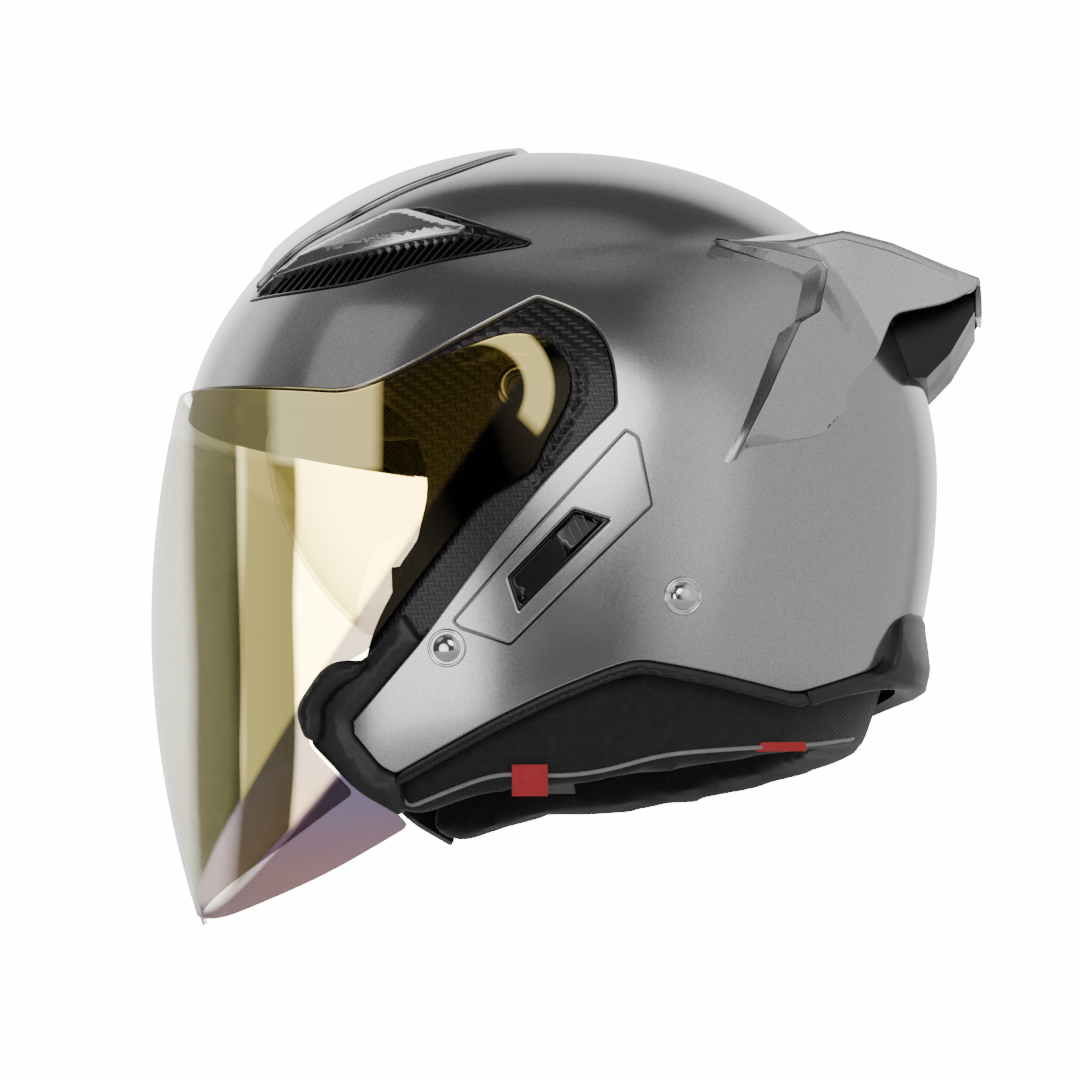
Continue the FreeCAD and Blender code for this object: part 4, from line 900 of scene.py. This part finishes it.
def panel(build, outline, high, low, chart, spacing, width, share, holes=(), creases=(), slot=0):
    """A plate whose top and foot lie at heights over the outer surface, drawn in side view."""
    flatten, place = CHARTS[chart]
    loops = [flatten(rounded(loop)) for loop in (outline, *holes)]
    lines = [flatten(rounded(line, 0.5, 2.5, False)) for line in creases]
    return plate(build, lifted(place, high), lifted(place, low), loops, spacing, width, lip(share), None,
                 lines, slot)


def edge_distance(outline):
    loop = rounded(outline)
    ring = np.vstack([loop, loop[:1]])
    return lambda points: distance_to(points[:, 1:], ring)


def crowned(outline, base, rise, run):
    """A height that climbs from an outline inwards, as a roof does."""
    near = edge_distance(outline)
    return lambda points: base + rise * np.clip(near(points) / run, 0.0, 1.0)


def grown(corners, reach):
    """An outline moved outwards by a reach, corner by corner."""
    points = np.array([corner[:2] for corner in corners])
    turn = np.sign(turning(points))
    before, after = unit(points - np.roll(points, 1, 0)), unit(np.roll(points, -1, 0) - points)
    outward = unit(before + after)[:, ::-1] * np.array((1.0, -1.0)) * turn
    square = np.clip(np.sum(before * after, 1), -0.2, 1.0)
    moved = points + outward * (reach / np.sqrt((1.0 + square) / 2.0))[:, None]
    return [(*place, *corner[2:]) for place, corner in zip(moved.tolist(), corners)]


def on_shell(corners, lift, chart):
    flatten, place = CHARTS[chart]
    return lifted(place, lift)(flatten(np.array(corners, float)))


# ---------------------------------------------------------------- brow scoops and blades

SCOOP_FOOT = [(-118.0, 77.8), (-95.0, 77.0), (-75.7, 78.0), (-63.2, 80.2), (-42.7, 85.2), (-8.6, 90.9)]
SCOOP_HEAD = [(-118.0, 80.0), (-108.7, 85.9), (-80.0, 90.0), (-62.3, 92.9), (-33.5, 96.7), (-14.0, 94.0)]
RIBS = 27


def scoop_bowl():
    near = edge_distance(SCOOP)
    return lambda points: 0.3 - 3.0 * np.clip((near(points) - 0.7) / 2.6, 0.0, 1.0)


scoop = panel(Build(), SCOOP, scoop_bowl(), -4.9, "dome", 2.2, 0.4, 0.4)
foot, head = np.array(SCOOP_FOOT), np.array(SCOOP_HEAD)
for k in range(RIBS):
    low_y = -112.0 + k * 3.7
    high_y = low_y + 8.5
    low_z = np.interp(low_y, foot[:, 0], foot[:, 1]) + 1.3
    high_z = np.interp(high_y, head[:, 0], head[:, 1]) + 0.8
    if high_z - low_z < 2.0:
        continue
    way = on_shell(np.linspace((low_y, low_z), (high_y, high_z), 6), -1.7, "dome")
    sweep(scoop, way, (0.0, 1.0, -0.6), circle(0.55, 8, 2.6), 1)
pair("brow_scoop_grille", scoop, [GLOSS, VENT], "shell", ["brow_scoop"])

BLADE_LOW = [(-108.7, 85.9), (-80.0, 90.0), (-62.3, 92.9), (-33.5, 96.7)]
BLADE_HIGH = [(-108.7, 85.9), (-97.6, 94.6), (-61.7, 108.9), (-55.3, 108.6), (-31.4, 99.2)]
BLADE_FOLD = [(-102.0, 88.9), (-80.6, 92.6), (-62.8, 95.5), (-36.0, 98.9)]


def blade_roof(points):
    """A narrow band that leans out over the grille, a flat face above it and a soft upper edge."""
    low, high = (distance_to(points[:, 1:], np.array(line)) for line in (BLADE_LOW, BLADE_HIGH))
    return np.minimum(np.minimum(1.0 + 1.15 * low, 4.2 - 0.1 * low), 1.0 + 0.55 * high)


blade = panel(Build(), BLADE, blade_roof, -2.6, "dome", 1.8, 0.6, 0.35, (), [BLADE_FOLD])
pair("brow_blade_shell", blade, BRIGHT_PAINT, "shell", ["brow_blade"])

# ---------------------------------------------------------------- top vent

RIDGE_LINE = [(-115.0, 82.6), (-98.6, 98.9, 9.0), (-81.3, 106.8, 9.0), (-57.1, 119.8, 9.0),
              (-37.4, 127.6, 9.0), (-10.9, 142.0)]


def top_outline(drop, front):
    near = SHELL.to_dome(rounded([(y, z - drop, *more) for y, z, *more in RIDGE_LINE], closed=False))
    near = near[near[:, 0] > 1.0]
    near = near[near[:, 1] < -8.0]
    tail = np.array([(0.0, near[-1, 1] + 2.0)])
    nose = np.array([(0.0, -front)])
    return np.concatenate([near, tail, mirrored_dome(near)[::-1], nose])


def top_roof(points):
    """Raised along the middle, with a step down to its two wings."""
    wing = np.clip((np.abs(points[:, 0]) - 20.0) / 16.0, 0.0, 1.0)
    return 2.7 - 1.2 * wing ** 2 * (3.0 - 2.0 * wing)


top_vent = plate(Build(), over_dome(top_roof), over_dome(-0.2), [top_outline(0.0, 117.0)], 4.0, 1.6,
                 lip(0.45))
plate(top_vent, over_dome(0.55), over_dome(-0.3), [top_outline(1.5, 119.5)], 5.0, 0.3, lip(0.5), slot=1)
piece("top_vent_ridge", top_vent, [BRIGHT_PAINT, GLOSS], "shell", ["top_vent_cover"])

# ---------------------------------------------------------------- side plates, slots and sliders

side_cover = panel(Build(), SIDE_PLATE, 1.25, -0.1, "wrap", 3.0, 1.1, 0.6, [WINDOW])
# A black sheet a little larger than the cover, just under its edge, is painted shade standing in for the
# groove round the cover.
panel(side_cover, grown(SIDE_PLATE, 0.8), 0.2, -0.3, "wrap", 4.0, 0.1, 0.5, [WINDOW], slot=1)
pair("side_cover", side_cover, [BRIGHT_PAINT, GLOSS], "shell", ["side_plate"])


def tray_bowl():
    near = edge_distance(WINDOW)
    return lambda points: 0.9 - 4.2 * np.clip((near(points) - 0.9) / 0.9, 0.0, 1.0)


def ring(corners, reach):
    """A closed line alongside an outline, inside it where the reach is negative."""
    moved = grown(corners, reach)
    return moved + moved[:1]


tray = panel(Build(), grown(WINDOW, -0.15), tray_bowl(), -4.2, "wrap", 1.2, 0.3, 0.4, (),
             [ring(WINDOW, -1.0), ring(WINDOW, -1.95)])
pair("slider_recess", tray, GLOSS, "shell", ["slider_tray"])

GRIP = [(4.0, -19.2, 0.8), (7.6, -27.2, 0.8), (19.6, -15.6, 0.8), (11.0, -12.6, 0.8)]
GRIP_RIDGE = [(5.8, -18.2), (9.2, -25.6)]


def grip_wedge(points):
    """Steep to a ridge near the lower end, then falling away up the slot."""
    run = (points[:, 1] - 3.0) * 0.698 + (points[:, 2] + 23.0) * 0.716
    return np.where(run < 3.0, -1.6 + 1.1 * run, 1.7 - 0.24 * (run - 3.0))


def grip(body, mirror):
    build = panel(Build(), GRIP, grip_wedge, -3.0, "wrap", 1.2, 0.35, 0.3)
    for k in range(4):
        start, end = np.array(GRIP_RIDGE) + 2.4 * (k + 1)
        flat = start + (end - start) * np.linspace(0.12, 0.88, 5)[:, None]
        lift = grip_wedge(np.column_stack([np.zeros(5), flat]))[2]
        sweep(build, on_shell(flat, lift, "wrap"), (0.0, 0.7, 0.7), circle(0.45, 8))
    piece(f"{body}_grip", build.mirrored() if mirror else build, GLOSS, body, [body])


grip("sun_visor_slider", False)
grip("ear_vent_slider", True)

# ---------------------------------------------------------------- rivets

RIVET = [(7.2, -1.5), (7.2, 0.6), (6.9, 0.95), (6.3, 1.0), (5.9, 0.7), (5.75, 0.15), (5.45, 0.15),
         (5.35, 0.7), (5.15, 1.2), (4.8, 1.75), (4.1, 2.3), (3.2, 2.7), (2.0, 2.95), (0.9, 3.05),
         (0.05, 3.07)]
rivets = Build()
for place in ((-36.8, -60.7), (50.2, -41.8)):
    flat = SHELL.to_wrap(np.array([place]))
    lathe(rivets, SHELL.wrap(flat)[0], normals(SHELL.wrap, flat)[0], RIVET, 56)
piece("strap_rivet_heads", rivets.mirrored(True), CHROME, "shell", ["strap_rivets"])

# ---------------------------------------------------------------- base plates and hubs

BASE_PLATE = RIM[3:15] + [
    (-72.6, -85.0, 1.0), (-73.0, -78.0), (-66.0, -52.0, 9.0), (-50.0, -25.0, 9.0), (-44.0, 0.0, 9.0),
    (-50.0, 22.0, 9.0), (-68.0, 36.0)]
BEHIND_LENS = [(-30.0, 50.6), (-14.5, 56.0, 6.0), (-3.0, 55.2, 6.0), (5.0, 49.8, 6.0), (9.7, 42.0, 6.0),
               (10.2, 34.0, 6.0), (7.6, 26.0, 6.0), (1.8, 16.5, 6.0), (-4.1, 3.5, 3.0),
               (-22.2, -6.2, 6.0), (-48.0, -37.0), (-66.5, -60.7)]


def base_relief():
    """Sunk behind the shell's edge, with a raised arc beside the visor and a groove down the jaw."""
    arc = rounded(BEHIND_LENS[:9], 6.0, 2.0, False)
    jaw = rounded([(24.0, 22.0), (-2.0, -3.5), (-37.0, -47.0), (-60.0, -73.0)], 6.0, 2.0, False)

    def height(points):
        flat = points[:, 1:]
        arc_gap = distance_to(flat, arc)
        band = np.clip(1.0 - np.abs(arc_gap - 4.2) / 1.4, 0.0, 1.0)
        groove = np.clip(1.0 - distance_to(flat, jaw) / 0.9, 0.0, 1.0)
        inside = np.clip((arc_gap - 1.0) / 2.0, 0.0, 1.0)
        return -3.6 + 0.2 * inside + 0.4 * band - 0.6 * groove
    return height


base_plate = panel(Build(), grown(BASE_PLATE, -0.2), base_relief(), -5.2, "wrap", 1.9, 0.3, 0.3)
pair("carbon_base", base_plate, CARBON, "shell", ["base_plate"])

HUB = [(14.0, 0.2), (14.0, 4.6), (13.5, 5.4), (12.8, 5.7), (11.0, 5.7), (10.6, 5.2), (9.6, 5.2),
       (9.3, 5.8), (9.0, 7.9), (8.4, 8.5), (4.4, 8.5), (4.0, 8.0), (3.9, 6.4), (0.05, 6.3)]
hub = lathe(Build(), (113.4, -10.0, 36.0), (1.0, 0.0, 0.0), HUB, 64)
pair("visor_hub_cap", hub, GLOSS, "visor", ["visor_hub"])

# ---------------------------------------------------------------- visor tab and top vent slider

TAB = [(-65.0, -64.5, 2.0), (-76.1, -63.8, 4.0), (-82.5, -66.8, 4.0), (-91.2, -79.0, 3.0),
       (-91.6, -83.5, 3.0), (-89.0, -91.5, 2.0), (-84.0, -93.8, 2.0), (-82.6, -87.0, 3.0),
       (-83.0, -81.0, 3.0), (-77.0, -74.0, 3.0), (-69.0, -70.0, 2.0)]
tab = panel(Build(), TAB, crowned(TAB, 6.6, 2.2, 3.0), 2.7, "wrap", 1.8, 1.2, 0.5)
piece("visor_tab_grip", tab, TRIM, "visor", ["visor_tab"])

KNOB_MIDDLE, KNOB_HALF, KNOB_WIDE = -56.0, 4.6, 11.0
knob_loop = rounded([(side * KNOB_WIDE, KNOB_MIDDLE + end * KNOB_HALF)
                     for side, end in ((-1, -1), (1, -1), (1, 1), (-1, 1))], 2.5, 1.2)
knob = plate(Build(), over_dome(3.5), over_dome(2.0), [knob_loop], 1.8, 0.7, lip(0.5))
for step in (-2.6, 0.0, 2.6):
    across = np.stack([np.linspace(-8.5, 8.5, 9), np.full(9, KNOB_MIDDLE + step)], -1)
    sweep(knob, over_dome(3.5)(across), (0.0, 1.0, 0.0), circle(0.5, 8))
piece("top_vent_slider_grip", knob, VENT, "top_vent_slider", ["top_vent_slider"])

# ---------------------------------------------------------------- trims round the lower edge

FRONT_TRIM = [(-47.0, -58.2, 1.0), (-54.0, -47.5, 2.0), (-65.5, -62.0, 5.0), (-77.0, -68.0, 5.0),
              (-89.0, -80.0, 2.0), (-89.5, -94.5, 2.0), (-72.0, -112.6, 6.0), (-55.6, -122.0, 2.0),
              (-55.3, -110.7, 1.0), (-57.0, -106.8, 1.0), (-63.0, -103.8, 1.0), (-73.2, -91.4, 1.0),
              (-73.6, -86.6, 1.0)]
front_trim = panel(Build(), FRONT_TRIM, crowned(FRONT_TRIM, 0.7, 1.4, 5.0), -5.8, "wrap", 2.4, 1.2, 0.3)
pair("front_trim_moulding", front_trim, TRIM, "shell", ["front_trim"])

HEM_LINE = [(y, z) for y, z, soft in HEM[2:9]] + [(94.8, -75.0)]
SIDE_TRIM = [(y, z, 6.0) for y, z in HEM_LINE] + [(y, z - 4.9, 6.0) for y, z in reversed(HEM_LINE)]


def side_trim_relief(points):
    """A rounded rib along the lower edge, below a flatter band."""
    hem = np.array(HEM_LINE)
    depth = np.interp(points[:, 1], hem[:, 0], hem[:, 1]) - points[:, 2]
    return 0.5 + 1.5 * np.exp(-((depth - 3.4) / 1.0) ** 2)


side_trim = panel(Build(), SIDE_TRIM, side_trim_relief, -5.8, "wrap", 1.3, 0.5, 0.4)
pair("side_trim_moulding", side_trim, TRIM, "shell", ["side_trim"])

REAR_LOW = [(95.0, -80.6), (105.0, -76.6, 4.0), (122.0, -70.6, 4.0), (129.0, -69.0, 4.0)]
REAR_HIGH = [(95.0, -74.8), (104.8, -71.0, 4.0), (121.0, -64.0, 4.0), (127.8, -44.6, 3.0),
             (133.0, -40.9, 3.0)]
REAR_PROFILE = [(-80.0, 1.5), (-76.0, 2.0), (-69.0, 3.6), (-65.6, 7.6), (-57.8, 7.2), (-45.4, 2.2),
                (-40.7, 0.8)]
REAR_ARC = ARC * math.pi / 2.0


def all_round(near):
    """A line on the near half carried on round the back of the helmet."""
    return np.concatenate([near, np.stack([2.0 * REAR_ARC - near[::-1, 0], near[::-1, 1]], -1)])


def rear_bulge(points):
    levels, reach = zip(*REAR_PROFILE)
    out = np.interp(points[:, 2], levels, reach)
    return 0.8 + (out - 0.8) * np.clip((points[:, 1] - 95.0) / 32.0, 0.0, 1.0) ** 1.5


rear_low = all_round(SHELL.to_wrap(rounded(REAR_LOW, closed=False)))
rear_high = all_round(SHELL.to_wrap(rounded(REAR_HIGH, closed=False)))
rear_loop = np.concatenate([rear_low, rear_high[::-1]])
rear_trim = plate(Build(), lifted(SHELL.wrap, rear_bulge), lifted(SHELL.wrap, -3.8), [rear_loop], 3.0, 1.6,
                  lip(0.25))
piece("rear_trim_moulding", rear_trim, TRIM, "shell", ["rear_trim"])

# ---------------------------------------------------------------- spoiler

STEP_HEAD = [(61.6, 94.2), (88.0, 91.4), (100.4, 89.2), (102.7, 86.1), (100.2, 68.2), (93.3, 62.7),
             (82.0, 34.0), (69.7, 8.6)]
STEP_FOOT = [(60.6, 93.6), (83.0, 87.0), (93.6, 83.8), (94.2, 82.8), (91.1, 63.7), (85.3, 57.9),
             (76.5, 33.0), (67.0, 8.0)]
MERGE = [(73.0, 13.3), (100.3, 19.4), (110.6, 31.2), (109.5, 38.4), (120.8, 52.8)]
FLANK = [(61.6, 94.2, 0.3), (88.0, 91.4, 0.5), (100.4, 89.2, 0.5), (102.7, 86.1, 0.5), (100.2, 68.2, 0.5),
         (93.3, 62.7, 0.5), (82.0, 34.0, 0.5), (69.7, 8.6, 0.3), (73.0, 13.3, 2.0), (100.3, 19.4, 5.0),
         (110.6, 31.2, 4.0), (109.5, 38.4, 4.0), (120.8, 52.8, 4.0), (127.5, 69.8, 4.0),
         (147.7, 74.6, 5.0), (158.0, 80.2, 2.0), (160.3, 84.3, 0.8), (151.3, 87.8, 4.0),
         (127.2, 96.2, 6.0), (108.9, 100.6, 5.0), (88.2, 96.0, 6.0)]
INSET = [(84.3, 25.4, 1.5), (92.0, 43.9, 1.5), (98.1, 47.7, 1.5), (100.4, 39.7, 1.5), (101.1, 26.7, 1.5)]
INNER_FOLD = [(100.3, 19.4), (110.0, 31.2, 4.0), (107.3, 48.0, 4.0), (113.7, 66.0, 4.0),
              (125.9, 77.5, 4.0), (150.0, 81.0)]


def flank_reach(y):
    """How far out the spoiler's side face stands where it has left the shell."""
    return 74.5 - 0.17 * (y - 88.0) - 0.0014 * (y - 88.0) ** 2


def larger(a, b, soft):
    """The larger of two heights, blended where they're close."""
    mix = np.clip(0.5 + 0.5 * (a - b) / soft, 0.0, 1.0)
    return b * (1 - mix) + a * mix + soft * mix * (1 - mix)


def flank_top(uv):
    front, merge = np.array(STEP_HEAD), np.array(MERGE)
    fold = rounded(INNER_FOLD, 4.0, 3.0, False)
    ahead, behind = distance_to(uv, front), distance_to(uv, merge)
    lift = 1.0 + 5.4 * behind / (ahead + behind + 1e-6)
    grooved = np.clip(1.0 - distance_to(uv, fold) / 2.2, 0.0, 1.0)
    lift -= 0.8 * grooved * np.clip((uv[:, 1] - 22.0) / 10.0, 0.0, 1.0)
    marked = distance_to(uv, np.vstack([INSET_LOOP, INSET_LOOP[:1]]))
    lift -= 0.4 * np.clip(1.0 - marked / 1.0, 0.0, 1.0)
    hug = SHELL.side(uv)[:, 0] + lift
    return np.column_stack([larger(hug, flank_reach(uv[:, 0]), 8.0), uv])


def flank_foot(uv):
    hug = SHELL.side(uv)[:, 0] - 0.2
    return np.column_stack([np.maximum(hug, flank_reach(uv[:, 0]) - 3.2), uv])


INSET_LOOP = rounded(INSET)
flank = plate(Build(), flank_top, flank_foot, [rounded(FLANK)], 2.2, 0.6, lip(0.3), None,
              [rounded(INNER_FOLD, 4.0, 2.5, False)[1:-1], np.vstack([INSET_LOOP, INSET_LOOP[:1]])])
head_line, foot_line = [], []
for (a, b), (c, d) in zip(zip(STEP_HEAD, STEP_HEAD[1:]), zip(STEP_FOOT, STEP_FOOT[1:])):
    for share in np.linspace(0.0, 1.0, 8, endpoint=b == STEP_HEAD[-1]):
        head_line.append(np.array(a) * (1 - share) + np.array(b) * share)
        foot_line.append(np.array(c) * (1 - share) + np.array(d) * share)
head_line, foot_line = np.array(head_line), np.array(foot_line)
wall_top = flank_top(head_line) - np.array((0.35, 0.0, 0.0))
wall_low = SHELL.side(foot_line) + np.array((0.05, 0.0, 0.0))
wall_mid = wall_top * 0.82 + wall_low * 0.18 + np.array((0.5, -0.5, 0.0))
ruled(flank, wall_top, wall_mid)
ruled(flank, wall_mid, wall_low)
pair("spoiler_flank", flank, BRIGHT_PAINT, "shell", ["spoiler_leg"])

CREASE_RUN = np.array([(89.3, 61.2, 94.2), (76.5, 88.2, 96.6), (71.5, 108.9, 101.4), (67.0, 127.2, 97.0),
                       (59.5, 148.0, 89.0), (54.5, 160.4, 85.0)])


def wing_top(uv):
    """The wing over the tail: u across from -100 to 100, v from its front edge to its trailing edge."""
    share, run = np.abs(uv[:, 0]) / 100.0, uv[:, 1] / 100.0
    steps = np.linspace(0.0, 1.0, len(CREASE_RUN))
    side = np.stack([np.interp(run, steps, CREASE_RUN[:, k]) for k in range(3)], -1)
    middle_y, middle_z = 98.0 + 63.0 * run, 109.6 - 26.2 * run
    bend_y, bend_z = share ** 1.85, share ** 2.4
    x = np.sign(uv[:, 0]) * share * side[:, 0]
    y = middle_y * (1 - bend_y) + side[:, 1] * bend_y
    z = middle_z * (1 - bend_z) + side[:, 2] * bend_z
    return np.stack([x, y, z], -1)


def wing_foot(uv):
    points = wing_top(uv)
    points[:, 2] -= 3.4
    return points


wing_loop = rounded([(-100.0, 0.0), (100.0, 0.0), (100.0, 100.0), (-100.0, 100.0)], 1.0, 3.0)
wing = plate(Build(), wing_top, wing_foot, [wing_loop], 4.0, 0.9, lip(0.5))
piece("spoiler_wing", wing, BRIGHT_PAINT, "shell", ["rear_spoiler"])

# ---------------------------------------------------------------- padding

CAP, SHRINK, INFLATE, VOXEL = 5.0, 1.2, 4.0, 0.0045


def bake(obj):
    """Turns what the modifiers show into the object's own mesh."""
    shown = bpy.data.meshes.new_from_object(obj.evaluated_get(bpy.context.evaluated_depsgraph_get()))
    obj.modifiers.clear()
    obj.data = shown


def cushion(name, paint):
    """A pad blown up with cloth from a slightly smaller copy of the CAD node it stands for."""
    node = NODES[name]
    mesh = node.data.copy()
    mesh.transform(node.matrix_world)
    mesh.materials.clear()
    obj = placed(f"{name}_cushion", mesh)
    remesh = obj.modifiers.new("even", "REMESH")
    remesh.mode, remesh.voxel_size, remesh.use_smooth_shade = "VOXEL", VOXEL, True
    start = obj.modifiers.new("smaller", "DISPLACE")
    start.strength, start.mid_level = -SHRINK * MM, 0.0
    bake(obj)
    before = np.array([vertex.co for vertex in obj.data.vertices])
    cloth = obj.modifiers.new("cloth", "CLOTH")
    cloth.settings.effector_weights.gravity = 0.0
    cloth.settings.use_pressure = True
    cloth.settings.uniform_pressure_force = INFLATE
    cloth.settings.quality = 6
    cloth.settings.tension_stiffness = cloth.settings.compression_stiffness = 12.0
    cloth.settings.bending_stiffness = 1.0
    cloth.point_cache.frame_start, cloth.point_cache.frame_end = 1, 20
    for frame_number in range(1, 21):
        bpy.context.scene.frame_set(frame_number)
    bake(obj)
    bpy.context.scene.frame_set(1)
    after = np.array([vertex.co for vertex in obj.data.vertices])
    move = after - before
    length = np.linalg.norm(move, axis=1, keepdims=True)
    after = before + move * np.minimum(1.0, CAP * MM / np.maximum(length, 1e-9))
    obj.data.vertices.foreach_set("co", after.ravel())
    smooth = obj.modifiers.new("smooth", "SUBSURF")
    smooth.levels = smooth.render_levels = 1
    bake(obj)
    obj.data.polygons.foreach_set("use_smooth", [True] * len(obj.data.polygons))
    obj.data.materials.append(paint)
    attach(obj, "shell")
    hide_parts(name)
    return obj


PADS = {"neck_roll": FABRIC, "cheek_pad_left": FABRIC, "cheek_pad_right": FABRIC, "crown_pad": MESH_CLOTH}
cushions = {name: cushion(name, paint) for name, paint in PADS.items()}


def draped(points, lift):
    """Side view points set on the neck roll, seen from the wearer's left."""
    mesh = cushions["neck_roll"].data
    tree = BVHTree.FromPolygons([v.co / MM for v in mesh.vertices], [p.vertices for p in mesh.polygons])
    places, ways = [], []
    for y, z in points:
        hit, way, *_ = tree.ray_cast(Vector((200.0, y, z)), Vector((-1.0, 0.0, 0.0)))
        if hit is None:
            hit, way, *_ = tree.find_nearest(Vector((105.0, y, z)))
        places.append(np.array(hit) + np.array(way) * lift)
        ways.append(np.array(way))
    return np.array(places), np.array(ways)


PIPING_LINE = [(-57.8, -119.5), (-41.0, -113.2, 9.0), (-19.6, -105.7, 9.0), (-0.4, -107.0, 9.0),
               (14.4, -106.0, 9.0), (26.8, -103.2, 9.0), (38.2, -99.8, 9.0), (50.1, -97.8, 9.0),
               (63.5, -96.5, 9.0), (94.2, -93.0, 9.0), (109.0, -89.0, 9.0), (115.0, -86.0)]
line, away = draped(rounded(PIPING_LINE, 9.0, 3.0, False), 0.3)
for _ in range(3):
    line[1:-1] = (line[:-2] + line[1:-1] * 2 + line[2:]) / 4
piping = sweep(Build(), line, away, circle(0.8, 10))
piece("neck_piping", piping.mirrored(True), PIPING, "shell")

TABS = [((-7.3, -102.6), 11.6, 6.7), ((79.0, -92.9), 3.4, 14.5)]
tabs = Build()
for anchor, drop, half in TABS:
    (start,), _ = draped([anchor], 1.0)
    down = np.linspace(0.0, 1.0, 6)[:, None] * np.array((-0.12 * drop, 0.0, -drop))
    edge = [(half, 0.0), (half - 0.3, 0.45), (0.0, 0.5), (0.3 - half, 0.45)]
    sweep(tabs, start + down, (0.0, 1.0, 0.08), edge + [(-u, -v) for u, v in edge])
far_tabs = tabs.mirrored()
far_tabs.points = [(x, y, z + 9.0) for x, y, z in far_tabs.points]
tabs.add(far_tabs.points, far_tabs.faces, far_tabs.normals)
piece("pull_tab_tapes", tabs, RED, "shell", ["pull_tabs"])

# ---------------------------------------------------------------- CAD nodes that stay

CARRIED = {
    "eps_liner": FOAM, "cheek_foam_left": FOAM, "cheek_foam_right": FOAM, "brow_gasket": RUBBER,
    "detent_spring_left": SPRING_STEEL, "detent_spring_right": SPRING_STEEL,
    "release_latch_left": TRIM, "release_latch_right": TRIM, "base_plate_screws": STEEL,
    "sun_visor": SUN_LENS, "sun_visor_pins": STEEL, "sun_visor_cable": RUBBER, "rear_diffuser": DIFFUSER,
    "strap_left": WEBBING, "strap_right": WEBBING, "buckle_housing": STEEL, "lever_pin": STEEL,
    "ladder_strap": TRIM, "release_lever": RED,
}
for name, paint in CARRIED.items():
    NODES[name].data.materials.clear()
    NODES[name].data.materials.append(paint)

# ---------------------------------------------------------------- floor, light and camera

LOOK_AT = Vector((0.0, -11.7, -7.85)) * MM
AZIMUTH, ELEVATION, DISTANCE = math.radians(94.5), math.radians(-6.3), 2.2
VIEW_WIDTH, SENSOR = 0.4212, 36.0
FLOOR_LEVEL = -0.272


def floor():
    """A pale round floor with a softened edge."""
    build = Build()
    lathe(build, (0.0, 0.0, FLOOR_LEVEL / MM), (0.0, 0.0, 1.0),
          [(780.0, -12.0), (780.0, -3.0), (777.0, 0.0), (0.01, 0.0)], 128)
    paint = Paint("pale_floor", Roughness=0.7)
    paint.set("Base Color", paint.colours(paint.noise(3.0), [(0.3, grey(0.78)), (0.7, grey(0.82))]))
    mesh = mesh_of("floor", build)
    mesh.materials.append(paint.mat)
    placed("floor", mesh)


def softbox(name, place, aim, wide, tall, power):
    light = bpy.data.lights.new(name, "AREA")
    light.shape = "RECTANGLE"
    light.size, light.size_y, light.energy = wide, tall, power
    obj = placed(name, light)
    obj.location = place
    obj.rotation_euler = (Vector(aim) - Vector(place)).to_track_quat("-Z", "Y").to_euler()


class Sky(Paint):
    """The studio all round, made from nodes of the world."""

    def __init__(self):
        world = bpy.data.worlds.new("studio")
        bpy.context.scene.world = world
        world.use_nodes = True
        self.tree = world.node_tree
        self.place = self.tree.nodes.new("ShaderNodeTexCoord").outputs["Generated"]

    def patch(self, way, start, end, strength):
        """A soft round light in one direction, from where its edge starts to where it's full."""
        facing = self.node("ShaderNodeVectorMath", operation="DOT_PRODUCT")
        self.link(self.place, facing.inputs[0])
        facing.inputs[1].default_value = Vector(way).normalized()
        return self.spread(facing.outputs["Value"], 0.0, strength, start, end)


def studio_world():
    """White behind for the camera; darker, with a few soft lights, for what the helmet mirrors."""
    sky = Sky()
    total = BASE_LIGHT
    for patch in PATCHES:
        total = sky.plus(total, sky.patch(*patch))
    seen = sky.tree.nodes.new("ShaderNodeLightPath").outputs["Is Camera Ray"]
    strength = sky.node("ShaderNodeMix", data_type="FLOAT")
    for value, socket in ((seen, 0), (total, 2), (WHITE_BEHIND, 3)):
        sky.link(value, strength.inputs[socket])
    sky.link(strength.outputs[0], sky.tree.nodes["Background"].inputs["Strength"])
    sky.tree.nodes["Background"].inputs["Color"].default_value = (1.0, 0.985, 1.0, 1.0)


WHITE_BEHIND = 16.0
BASE_LIGHT = 0.075
PATCHES = [
    ((-1.0, 0.0, 0.42), 0.74, 0.93, 1.5),
    ((-0.68, -0.66, 0.3), 0.78, 0.95, 1.1),
    ((0.1, 1.0, 0.0), 0.3, 0.66, 0.6),
    ((1.0, 0.1, 0.24), 0.965, 0.99, 5.0),
    ((0.9, 0.5, 0.1), 0.94, 0.99, 0.5),
    ((0.25, 0.0, 0.97), 0.93, 0.99, 0.25),
    ((-0.23, -0.77, 0.6), 0.8, 0.95, 0.2),
    ((0.88, -0.42, -0.2), 0.955, 0.985, 3.5),
]


def camera():
    data = bpy.data.cameras.new("photo_camera")
    data.sensor_width = SENSOR
    data.lens = SENSOR * DISTANCE / VIEW_WIDTH
    data.clip_end = 20.0
    obj = placed("photo_camera", data)
    look = Vector((-math.sin(AZIMUTH) * math.cos(ELEVATION), math.cos(AZIMUTH) * math.cos(ELEVATION),
                   -math.sin(ELEVATION)))
    obj.location = LOOK_AT - look * DISTANCE
    obj.rotation_euler = look.to_track_quat("-Z", "Y").to_euler()
    bpy.context.scene.camera = obj


floor()
studio_world()
softbox("soft_front", (1.3, -1.6, 1.2), (0.0, 0.0, 0.0), 1.2, 1.2, 2.0)
camera()
